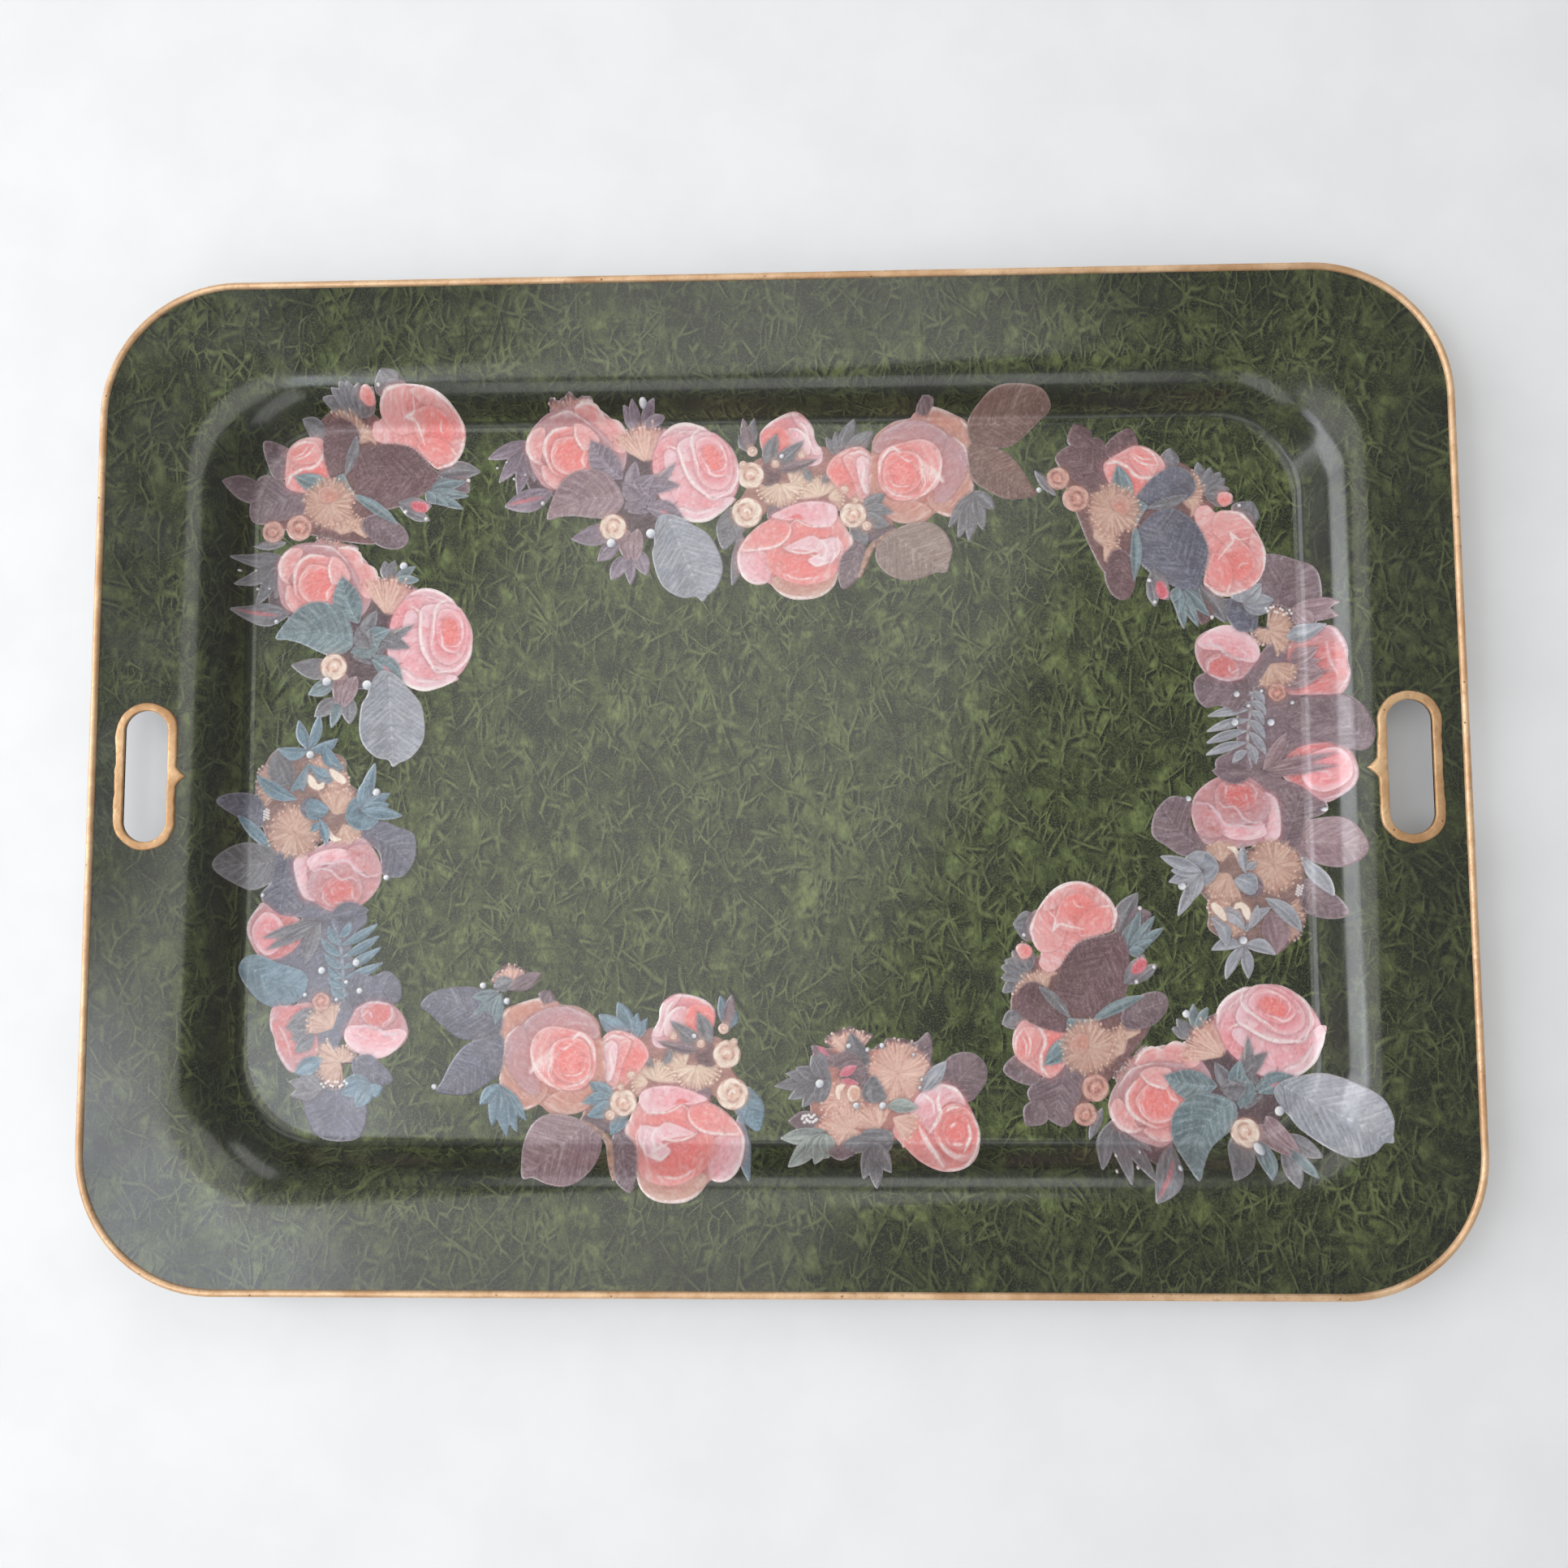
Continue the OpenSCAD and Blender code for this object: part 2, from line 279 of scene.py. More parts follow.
def inks(*colours):
    return [ink(*colour) for colour in colours]


class Canvas:
    """A print in its own millimetres: its inks, and how far inside its shapes
    each place lies."""

    def __init__(self, x0, y0, x1, y1, pitch):
        self.pitch = pitch
        self.x0, self.y0 = x0, y0
        self.x, self.y = np.meshgrid(np.arange(x0, x1, pitch), np.arange(y0, y1, pitch))
        self.rgb = np.zeros(self.x.shape + (3,)) + GROUND_PLUM
        self.reach = np.full(self.x.shape, -4.0)
        self.seed = 100

    def window(self, line, pad):
        (x0, y0), (x1, y1) = np.min(line, 0) - pad, np.max(line, 0) + pad
        cols = [max(int((v - self.x0) / self.pitch), 0) for v in (x0, x1)]
        rows = [max(int((v - self.y0) / self.pitch), 0) for v in (y0, y1)]
        return slice(rows[0], rows[1] + 2), slice(cols[0], cols[1] + 2)

    def shape(self, loop, pad=3.0):
        """Where the loop lies: its window, the places there and the depth inside."""
        area = self.window(loop, pad)
        x, y = self.x[area], self.y[area]
        depth, _ = to_line(x, y, np.vstack([loop, loop[:1]]))
        depth = np.where(within(x, y, loop), depth, -depth)
        return area, x, y, depth

    def lay(self, area, depth, colour, strength=1.0, soft=0.4, cuts=True):
        """Lays ink where depth is above 0, and widens the cut-out to it."""
        amount = np.clip(depth / soft + 0.5, 0, 1) * strength
        self.rgb[area] = blend(self.rgb[area], colour, amount)
        if cuts:
            self.reach[area] = np.maximum(self.reach[area], depth)

    def next_seed(self):
        self.seed += 1
        return self.seed


GROUND_PLUM = ink(78, 58, 66)


def patch(c, points, colour=GROUND_PLUM, grain=0.16):
    """A plain area of ink behind the flowers."""
    area, x, y, depth = c.shape(smooth(points, True))
    seed = c.next_seed()
    noise = value_noise(x, y, 1.6, seed) * 0.6 + value_noise(x, y, 5, seed + 50) * 0.4
    c.lay(area, depth, np.asarray(colour) * (1 - grain / 2 + grain * noise)[..., None])


def stroke(c, points, width, colour, strength=0.9, taper=0.6, cuts=False):
    """One brush stroke along points, thin at its ends."""
    line = smooth(points, steps=5)
    area = c.window(line, width + 1)
    x, y = c.x[area], c.y[area]
    distance, along = to_line(x, y, line)
    swell = np.sin(np.pi * np.clip(along, 0.02, 0.98)) ** taper
    dry = 0.5 + 0.6 * value_noise(x, y, 1.2, c.next_seed())
    c.lay(area, width / 2 * swell - distance, colour, np.clip(strength * dry, 0, 1),
          0.7, cuts)


# Rose inks: heart, body, outer petals, light edge, shade between petals.
CORAL = inks((238, 126, 122), (234, 150, 147), (229, 174, 173),
             (246, 234, 230), (176, 104, 106))
SALMON = inks((214, 116, 102), (200, 134, 118), (198, 150, 136),
              (238, 218, 210), (154, 98, 90))
BLUSH = inks((238, 138, 143), (236, 166, 173), (238, 198, 205),
             (250, 240, 236), (182, 116, 126))
ROSEWOOD = inks((212, 108, 106), (200, 134, 136), (192, 148, 156),
                (224, 206, 212), (148, 96, 104))
DUSKY = inks((208, 112, 112), (192, 134, 136), (184, 146, 154),
             (228, 212, 214), (140, 98, 106))


def petal(c, points, heart, inks, tones=(0.0, 1.0), shade=0.45, edge=0.5):
    """One petal: deep near the flower's heart, pale at its lit edge."""
    loop = smooth(points, True)
    area, x, y, depth = c.shape(loop)
    hx, hy = heart
    far = np.hypot(loop[:, 0] - hx, loop[:, 1] - hy)
    reach = np.hypot(x - hx, y - hy)
    t = (reach - far.min()) / max(np.ptp(far), 1)
    t = (tones[0] + (tones[1] - tones[0]) * np.clip(t, 0, 1)) ** 0.75
    angle = np.arctan2(y - hy, x - hx)
    seed = c.next_seed()
    arcs = value_noise(reach + 1.2 * np.sin(3 * angle + seed), angle * 5, 1.1, seed)
    rays = value_noise(angle * 12, reach / 6, 1, seed + 20)
    cloud = value_noise(x, y, 4.5, seed + 40)
    t = t + 0.22 * (arcs - 0.5) + 0.14 * (rays - 0.5) + 0.30 * (cloud - 0.5)
    colour = ramp3(t, *inks[:3])
    colour = blend(colour, inks[3], np.exp(-np.maximum(depth, 0) / 1.3) * edge * 0.6)
    colour = blend(colour, inks[3], np.clip(arcs - 0.66, 0, 1) * 1.2)
    colour = blend(colour, inks[4], np.clip(0.28 - arcs, 0, 1) * 0.8)
    hollow = np.exp(np.minimum(depth, 0) / 1.2) * (depth < 0) * shade * 1.3
    c.rgb[area] = blend(c.rgb[area], inks[4], hollow)
    c.lay(area, depth, colour)


def lines(c, inks, strength, *paths):
    """Several light brush lines, each given as a width and its points."""
    for width, *points in paths:
        stroke(c, points, width, inks[3], strength)


# Leaf inks: shaded half, lit half, veins and edge.
PLUM = inks((98, 78, 86), (124, 104, 112), (168, 150, 156))
DEEP_PLUM = inks((88, 58, 64), (110, 78, 84), (146, 118, 124))
MAUVE = inks((124, 96, 104), (152, 126, 132), (194, 174, 178))
GREY = inks((94, 92, 98), (120, 120, 126), (162, 164, 170))
TEAL = inks((88, 106, 112), (122, 142, 148), (172, 190, 194))
PALE = inks((126, 136, 132), (154, 164, 160), (200, 208, 202))
SEA = inks((82, 108, 122), (112, 140, 156), (160, 186, 200))
ICE = inks((128, 132, 142), (160, 162, 172), (208, 210, 214))
LILAC = inks((108, 94, 108), (138, 122, 136), (184, 172, 184))
BROWN = inks((102, 72, 66), (130, 96, 88), (162, 132, 122))
TAN = inks((128, 108, 102), (152, 130, 122), (188, 168, 158))
BLUE = inks((78, 78, 94), (104, 106, 122), (146, 148, 164))


def leaf_ink(c, area, depth, u, v, half, length, inks, veins, rib):
    """Paints a leaf, given how far along it (0 to 1) and across it places lie."""
    x, y = c.x[area], c.y[area]
    seed = c.next_seed()
    across = np.abs(v) / np.maximum(half, 1)
    lit = 0.45 + 0.25 * np.sign(v) * np.clip(across * 3, 0, 1)
    lit = lit + 0.5 * (value_noise(x, y, 4, seed) - 0.5)
    lit = lit + 0.6 * (value_noise(x, y, 0.9, seed + 30) - 0.5)
    colour = blend(inks[0], inks[1], np.clip(lit, 0, 1))
    if veins:
        slant = u * length - 0.8 * np.abs(v) + 0.06 * v * v / max(length, 1)
        hatch = value_noise(slant, across * 2.0, 0.75, seed + 60)
        comb = np.abs(((slant / length * veins) % 1) - 0.5) * 2
        broken = np.clip(value_noise(x, y, 5, seed + 70) * 1.6 - 0.4, 0, 1)
        colour = blend(colour, inks[2], np.clip((comb - 0.7) / 0.3, 0, 1) * 0.6 * broken)
    else:
        hatch = value_noise(across * np.sign(v) * 4, u * length / 9, 1, seed + 60)
    colour = blend(colour, inks[2], np.clip(hatch - 0.46, 0, 1) * (0.8 if veins else 1.0))
    colour = blend(colour, inks[0] * 0.8, np.clip(0.4 - hatch, 0, 1) * 0.7)
    if rib:
        line = np.clip(1 - np.abs(v) / 0.45, 0, 1) * (u < 0.93) * (0.3 + 0.7 * hatch)
        colour = blend(colour, inks[2], line * (0.7 if veins else 0.4))
    rim = np.clip(1 - depth / 0.8, 0, 1) * 0.4
    colour = blend(colour, inks[2], rim)
    halo = np.exp(np.minimum(depth, 0) / 0.7) * (depth < 0) * 0.36
    c.rgb[area] = blend(c.rgb[area], ink(52, 38, 46), halo)
    c.lay(area, depth, colour)


def leaf(c, base, tip, width, inks, bend=0.0, veins=0, teeth=0, full=1.0, rib=True):
    """A leaf from base to tip; full above 1 is rounder, bend curves it leftwards."""
    (bx, by), (tx, ty) = base, tip
    length = math.hypot(tx - bx, ty - by)
    ax, ay = (tx - bx) / length, (ty - by) / length
    area = c.window([base, tip], width / 2 + abs(bend) + 3)
    x, y = c.x[area], c.y[area]
    u = ((x - bx) * ax + (y - by) * ay) / length
    v = (y - by) * ax - (x - bx) * ay - 4 * bend * u * (1 - u)
    span = np.clip(u, 0, 1)
    half = width / 2 * np.sin(np.pi * span ** (0.85 if full > 1 else 0.95)) ** (0.9 / full)
    if teeth:
        half = half - 0.045 * width * ((span * teeth) % 1)
    depth = half - np.abs(v)
    beyond = np.maximum(-u, u - 1) * length
    depth = np.where(beyond > 0, -np.hypot(beyond, v), depth)
    depth = np.minimum(depth, np.minimum(u, 1 - u) * length + 0.3)
    leaf_ink(c, area, depth, u, v, half, length, inks, veins, rib)


def blade(c, points, rib, inks, veins=9, teeth=0.0):
    """A broad leaf with its own outline and midrib."""
    area, x, y, depth = c.shape(smooth(points, True))
    line = smooth(rib)
    away, u = to_line(x, y, line)
    (bx, by), (tx, ty) = line[0], line[-1]
    length = math.hypot(tx - bx, ty - by)
    middle = line[len(line) // 2]
    side = (y - middle[1]) * (tx - bx) - (x - middle[0]) * (ty - by)
    v = away * np.sign(side)
    if teeth:
        saw = np.arctan2(y - middle[1], x - middle[0]) * length / 4
        depth = depth - teeth * (saw % 1)
    half = np.maximum(away + np.maximum(depth, 0), 1)
    leaf_ink(c, area, depth, u, v, half, length, inks, veins, True)


def spray(c, base, tips, width, inks, bend=0.0):
    """Leaflets that spread from one stem."""
    for k, tip in enumerate(tips):
        leaf(c, base, tip, width, inks, bend * (1 if k % 2 else -1))


CREAM = ink(240, 206, 188)
PEACH = ink(212, 148, 134)
DUSK = (ink(184, 134, 120), ink(228, 194, 172))
STRAW = (ink(198, 150, 132), ink(247, 226, 200))


def stamens(c, x, y, r, start, end, count, tint=(PEACH, CREAM), flat=1.0):
    """A tuft of fine filaments round a point, with a ring of pollen at its edge."""
    seed = c.next_seed()
    luck = np.random.default_rng(seed)
    area = c.window([(x - r, y - r), (x + r, y + r)], 3)
    px, py = c.x[area] - x, (c.y[area] - y) / flat
    angle = np.degrees(np.arctan2(py, px))
    spread = (end - start) / 2
    off = np.abs((angle - (start + end) / 2 + 180) % 360 - 180)
    distance = np.hypot(px, py)
    depth = r * (0.88 + 0.14 * value_noise(angle / 9, angle * 0, 1, seed)) - distance
    if spread < 175:
        depth = np.minimum(depth, np.radians(spread - off) * distance + 0.6)
    out = np.clip(distance / r, 0, 1)
    fine = value_noise(angle / np.where(out > 0.5, 2.6, 5), distance / 9, 1, seed + 9)
    warm = blend(tint[0] * 0.80, tint[0], np.clip(0.1 + 1.2 * fine, 0, 1))
    pollen = value_noise(px, py, 0.95, seed + 18)
    ring = np.clip(out * 4 - 2.9, 0, 1)
    warm = blend(warm, ink(112, 66, 58), np.clip(0.5 - pollen, 0, 1) * 1.5 * ring)
    warm = blend(warm, tint[1], np.clip(pollen - 0.5, 0, 1) * 1.9 * ring)
    c.reach[area] = np.maximum(c.reach[area], depth)
    c.lay(area, depth - 1.6, warm, 0.94, 3.4, False)
    for k in range(count):
        a = math.radians(start + (end - start) * (k + luck.uniform(0.1, 0.9)) / count)
        long = r * luck.uniform(0.7, 1.0)
        short = r * luck.uniform(0.03, 0.2)
        bow = luck.uniform(-0.06, 0.06) * r
        ca, sa = math.cos(a), math.sin(a) * flat
        middle = (short + long) / 2
        line = [(x + ca * short, y + sa * short),
                (x + ca * middle - sa * bow, y + sa * middle + ca * bow),
                (x + ca * long, y + sa * long)]
        shade = blend(tint[0] * 0.9, tint[1], luck.uniform(0.3, 1.0))
        stroke(c, line, luck.uniform(0.6, 0.9), shade, 1.0, 0.3)
        if k % 3 == 0:
            dot(c, *line[2], luck.uniform(0.4, 0.65), tint[1])


def dot(c, x, y, r, colour=(0.95, 0.93, 0.92)):
    """A round spot of ink."""
    area = c.window([(x, y)], r + 1)
    depth = r - np.hypot(c.x[area] - x, c.y[area] - y)
    c.lay(area, depth, colour, 0.95)


def pearl(c, x, y, r):
    """A white berry with a cool shaded side."""
    area = c.window([(x, y)], r + 3)
    px, py = (c.x[area] - x) / r, (c.y[area] - y) / r
    depth = r * (1 - np.hypot(px, py))
    c.rgb[area] = blend(c.rgb[area], ink(50, 38, 46), np.exp(-np.abs(depth) / 0.8) * 0.4)
    lit = np.clip(0.55 - 0.45 * px + 0.35 * py, 0, 1)
    c.lay(area, depth, ramp3(lit, ink(150, 158, 172), ink(214, 218, 224), ink(250, 250, 248)))


def bud(c, x, y, r, turn=0, inks=None):
    """A small bud: rounded cream petals folded over a warm heart."""
    cream = inks or BUD_CREAM
    for k, (away, size) in enumerate(((0.0, 1.0),) + ((0.42, 0.55),) * 5 + ((0.0, 0.42),)):
        a = math.radians(turn + 72 * k)
        px, py = x + away * r * math.cos(a), y + away * r * math.sin(a)
        loop = [(px + size * r * math.cos(t), py + size * r * math.sin(t))
                for t in np.radians(range(0, 360, 45))]
        petal(c, loop, (x, y), cream, (0.1, 1.0), 0.22, 0.6)
    for k, away in enumerate((0.62, 0.50, 0.34)):
        fold = [(x + away * r * math.cos(t), y + away * r * math.sin(t))
                for t in np.radians((turn + 125 * k, turn + 125 * k + 50, turn + 125 * k + 100))]
        stroke(c, fold, 0.22 * r, cream[4], 0.9)
    stroke(c, [(x - 0.25 * r, y), (x, y + 0.2 * r), (x + 0.25 * r, y - 0.05 * r)], 0.22 * r,
           cream[3], 0.8)


BUD_CREAM = inks((216, 158, 138), (236, 208, 186), (245, 229, 211),
                 (253, 247, 236), (186, 136, 120))


def brushwork(c):
    """The grain of fine brush marks over the whole print."""
    along, across = 0.8 * c.x + 0.6 * c.y, 0.8 * c.y - 0.6 * c.x
    fine = value_noise(along, across, 0.8, 61)
    marks = value_noise(across + 1.5 * np.sin(along / 6), along / 3, 0.9, 62)
    other = value_noise(0.3 * c.x - 0.95 * c.y, (0.95 * c.x + 0.3 * c.y) / 3, 0.9, 65)
    slow = value_noise(along, across, 8, 63)
    marks = np.where(value_noise(along, across, 6, 64) > 0.5, marks, other)
    light = np.clip(0.45 * fine + 0.55 * marks + 0.2 * slow - 0.58, 0, 1)
    dark = np.clip(0.40 - 0.45 * fine - 0.55 * marks, 0, 1)
    c.rgb = blend(c.rgb, ink(236, 228, 228), light * 0.5)
    c.rgb = blend(c.rgb, ink(84, 58, 62), dark * 0.45)
    return c


BUD_PEACH = inks((196, 112, 98), (206, 140, 126), (216, 164, 148),
                 (238, 212, 198), (140, 88, 80))


# ---------------------------------------------------------------- the five prints


def paint_rose_pair(pitch, tints):
    """An open rose and a folded rose over one veined and one serrated leaf."""
    c = Canvas(-86, -62, 60, 56, pitch)
    oval, big, small, side = tints
    patch(c, [(-14, 30), (2, 36), (12, 30), (14, 6), (18, -10), (6, -22), (-10, -22),
              (-14, -14), (-46, 2), (-58, 6), (-58, 24), (-50, 30)])
    # Left sprig behind the open rose.
    spray(c, (-57, 31), [(-80, 22), (-74, 9), (-64, 2), (-55, 9)], 8, small)
    leaf(c, (-45, 4), (-71, -4), 12, small, 1)
    stroke(c, [(-50, 1), (-60, -1), (-69, -3)], 2.4, ink(206, 112, 120), 0.8)
    for px, py in ((-75, 17), (-66, 11), (-60, 13), (-70, 20)):
        dot(c, px, py, 0.5)
    # Stamen fringe over the top of the open rose.
    stamens(c, -33, 28, 23, 52, 125, 44)
    # The open rose.
    heart = (-34, 24)
    petal(c, [(-58, 35), (-50, 42), (-38, 45), (-26, 46), (-18, 44), (-10, 38), (-6, 30),
              (-8, 14), (-22, 6), (-46, 5), (-54, 12), (-58, 22)], heart, DUSKY, (0.4, 0.9))
    petal(c, [(-32, 45), (-26, 47), (-20, 46), (-17, 42), (-9, 40), (-6, 33), (-8, 24),
              (-20, 30), (-30, 38)], heart, CORAL, (0.35, 0.8))
    lines(c, CORAL, 0.9, (2.2, (-32, 45), (-25, 47.3), (-19, 45), (-17, 41)), (1.6, (-17, 43),
          (-11, 41), (-7, 36), (-6, 29)))
    petal(c, [(-59, 31), (-55, 38), (-44, 43), (-33, 43), (-24, 39), (-14, 28), (-20, 20),
              (-36, 18), (-50, 20)], heart, DUSKY, (0.3, 0.85))
    stroke(c, [(-46, 42), (-36, 44), (-29, 41.5), (-24, 38.5)], 1.0, CORAL[3])
    petal(c, [(-57, 36), (-50, 38), (-50, 28), (-52, 21), (-50, 18.5), (-56, 21), (-60, 27)],
          heart, CORAL, (0.5, 0.95))
    stroke(c, [(-56, 37), (-59, 30), (-57, 22), (-51, 18)], 1.9, CORAL[3])
    petal(c, [(-51, 18), (-48, 10), (-43, 5), (-30, 8), (-22, 12), (-18, 18), (-30, 14),
              (-40, 14)], heart, CORAL, (0.3, 0.75))
    stroke(c, [(-51.5, 17), (-49, 10), (-45, 6)], 1.5, CORAL[3], 0.7)
    petal(c, [(-50, 30), (-46, 36), (-38, 38.5), (-28, 37), (-21, 28), (-20, 19), (-27, 12),
              (-38, 11), (-47, 16)], heart, CORAL, (0.15, 0.7))
    stroke(c, [(-38, 38.5), (-46, 36), (-50, 28), (-48, 20), (-45, 14)], 2.0, CORAL[3])
    petal(c, [(-45, 30), (-40, 33), (-33, 33), (-27, 27), (-28, 17), (-34, 13), (-41, 14),
              (-46, 20)], heart, CORAL, (0.0, 0.75))
    stroke(c, [(-43.5, 29), (-46, 25), (-45.5, 20)], 0.9, CORAL[3])
    stroke(c, [(-43, 28), (-44.5, 24)], 0.6, CORAL[3], 0.7)
    stroke(c, [(-42, 16), (-36, 12.5), (-30, 13)], 0.8, CORAL[3], 0.6)
    petal(c, [(-34, 39), (-28, 39), (-22, 34), (-20.5, 30), (-24, 28), (-27.5, 26), (-32, 30)],
          (-40, 26), CORAL, (0.6, 1.0))
    stroke(c, [(-33, 38.5), (-33.5, 34), (-31, 29), (-28, 25)], 1.4, CORAL[3])
    stroke(c, [(-28.5, 25), (-29.5, 20), (-28, 17)], 1.6, CORAL[3], 0.8)
    # Stamens between the roses.
    spray(c, (-1, 36), [(-6, 46), (-1, 48)], 6, small)
    spray(c, (2, 38), [(10.5, 48), (15, 42)], 5, side)
    stamens(c, 4, 19, 22, 20, 150, 60)
    pearl(c, 4.5, 46.5, 1.8)
    pearl(c, -50.5, -2.5, 1.0)
    # The folded rose.
    heart = (41, 19)
    petal(c, [(9, 14), (10, 26), (13, 34), (20, 38.5), (28, 39), (36, 37), (39, 33), (46, 28),
              (53, 18), (54, 8), (50, -2), (40, -8), (26, -10), (16, -6), (10, 4)],
          (30, 4), BLUSH, (0.35, 0.85))
    petal(c, [(13, 33), (18, 38), (26, 39.5), (34, 37.5), (39, 34), (32, 33), (22, 34)],
          (20, 14), BLUSH, (0.8, 1.0))
    petal(c, [(9, 10), (8, 20), (12, 30), (22, 35), (30, 34), (30, 24), (24, 6), (18, -6),
              (12, 0)], (13, 20), BLUSH, (0.15, 0.95), 0.4, 0.15)
    petal(c, [(18, -7), (24, -12), (34, -13.6), (43, -9), (51, -3), (50.5, -1), (38, 0),
              (24, -2)], (34, 4), BLUSH, (0.45, 0.95))
    petal(c, [(20, -7), (26, -12.5), (36, -13.4), (44, -9), (50, -3.5), (50.5, -0.5), (42, -2),
              (30, -5)], (30, 4), BLUSH, (0.85, 1.1), 0.3, 0.7)
    petal(c, [(14, 22), (20, 24), (27, 8), (36, -1), (45, -3), (40, -6), (28, -6), (19, 0)],
          (40, -4), BLUSH, (0.35, 0.8), 0.3, 0.1)
    petal(c, [(21, 27), (30, 33), (40, 34), (49, 27), (53, 18), (53, 8), (49, 1), (41, -0.5),
              (34, 2), (27, 9)], heart, BLUSH, (0.3, 0.95), 0.45, 0.5)
    petal(c, [(29, 30), (34, 34.5), (41, 34), (47, 28), (50, 20), (50, 10), (45, 4), (37, 5),
              (31, 13)], heart, BLUSH, (0.15, 0.8), 0.4, 0.5)
    petal(c, [(31, 29), (36, 32), (42, 31), (46, 25), (48, 17), (46, 11), (39, 11), (33, 18)],
          heart, BLUSH, (0.0, 0.55), 0.35, 0.4)
    petal(c, [(35, 26), (40, 27), (43.5, 23), (44.5, 17), (41, 14), (37, 18)], heart, CORAL,
          (0.0, 0.12), 0.2, 0.0)
    lines(c, BLUSH, 0.9, (1.5, (36, 38), (30, 34), (28.5, 29), (30, 23), (32, 16), (32.5, 11)),
          (1.9, (18, 27), (22, 25), (24, 18), (28, 9), (34, 3), (40, -1.5), (47, 1.5)),
          (2.2, (47, 1.5), (52, 7), (54, 15), (52, 24), (47, 31), (41, 36)))
    stroke(c, [(34, 21), (37, 16), (39, 12), (43, 11), (48, 11.5)], 1.1, BLUSH[3], 0.8)
    stroke(c, [(41, 13), (46, 15), (47, 20), (44, 27), (38, 31)], 1.0, BLUSH[3], 0.7)
    stroke(c, [(17, -6), (24, -11.5), (34, -13), (44, -9), (50, -3)], 2.0, BLUSH[3])
    stroke(c, [(22, -6), (32, -9), (42, -6)], 1.4, BLUSH[3], 0.6)
    stroke(c, [(13, 33), (20, 38), (30, 38.5), (38, 35)], 1.6, BLUSH[3])
    lines(c, BLUSH, 0.7, (0.9, (14, 27.5), (19, 26.5), (22, 23)), (0.8, (22, 35), (30, 35),
          (37, 33)))
    # Leaves in the middle.
    leaf(c, (-8, 10), (-25, 31), 15, side, 2, 7)
    blade(c, [(-48, -11), (-46, -2), (-42, 7), (-36, 13), (-27, 15.5), (-18, 14), (-11, 7),
              (-7, -2), (-12, -9), (-20, -11), (-34, -9.5), (-42, -10)],
          [(-8, -1), (-22, 0), (-34, -3), (-48, -11)], oval, 9, 0.3)
    leaf(c, (2, 2), (20, 18), 6, small, -1)
    stroke(c, [(8, 7), (15, 15), (19, 18)], 0.8, ink(232, 200, 180), 0.7)
    leaf(c, (0, 4), (22, 6), 8, small, 1)
    leaf(c, (-4, 0), (-1, 20), 8, small, 0.5)
    leaf(c, (-3, 0), (9, 12), 9, side, 1)
    leaf(c, (-5, -8), (10, 4), 12, small, -1, 6)
    leaf(c, (6, 5), (-7, -6), 11, side, 1)
    leaf(c, (2, -1), (-8, 8), 9, small, 1)
    stroke(c, [(-2, 9), (0, 4), (3, 1)], 0.7, MAUVE[2], 0.6)
    stroke(c, [(1, 8), (3, 3), (7, 0)], 0.7, MAUVE[2], 0.6)
    leaf(c, (5, -4), (24, -11), 9, side, 1)
    leaf(c, (5, -6), (25, -17), 9, side, 2)
    stroke(c, [(12, -7), (18, -11), (22, -11)], 2.6, ink(222, 128, 142), 0.85)
    stroke(c, [(12, -13), (17, -13.5), (21, -16)], 2.2, ink(214, 112, 128), 0.85)
    # The big veined leaf.
    blade(c, [(12, -10), (9, -17), (9, -25), (8, -31), (11, -43), (16, -50), (24, -54),
              (31, -53.5), (34.3, -56), (37, -53), (42, -48), (45, -38), (42, -28), (37, -20),
              (29, -15), (20, -10)],
          [(17, -12), (24, -30), (29, -42), (34, -55)], big, 13)
    # The bud and its leaflets.
    leaf(c, (-10, -15), (-35, -22), 11, small, 1.5)
    leaf(c, (-10, -22), (-21, -34), 8, side, 0.5)
    leaf(c, (-7, -31), (-14, -44), 8, small, 0.5)
    leaf(c, (-4, -30), (-3.5, -47), 5.5, side)
    leaf(c, (0, -28), (5, -42), 8, small)
    leaf(c, (-7, -17), (-5, -34), 9, MAUVE, 0.5, 0, 0, 1.3)
    leaf(c, (0, -17), (-1, -35), 8, MAUVE, -0.5, 0, 0, 1.3)
    bud(c, -13, -16, 7, 20)
    pearl(c, -14, -24.5, 2.3)
    pearl(c, 7, -19.5, 2.4)
    return brushwork(c)


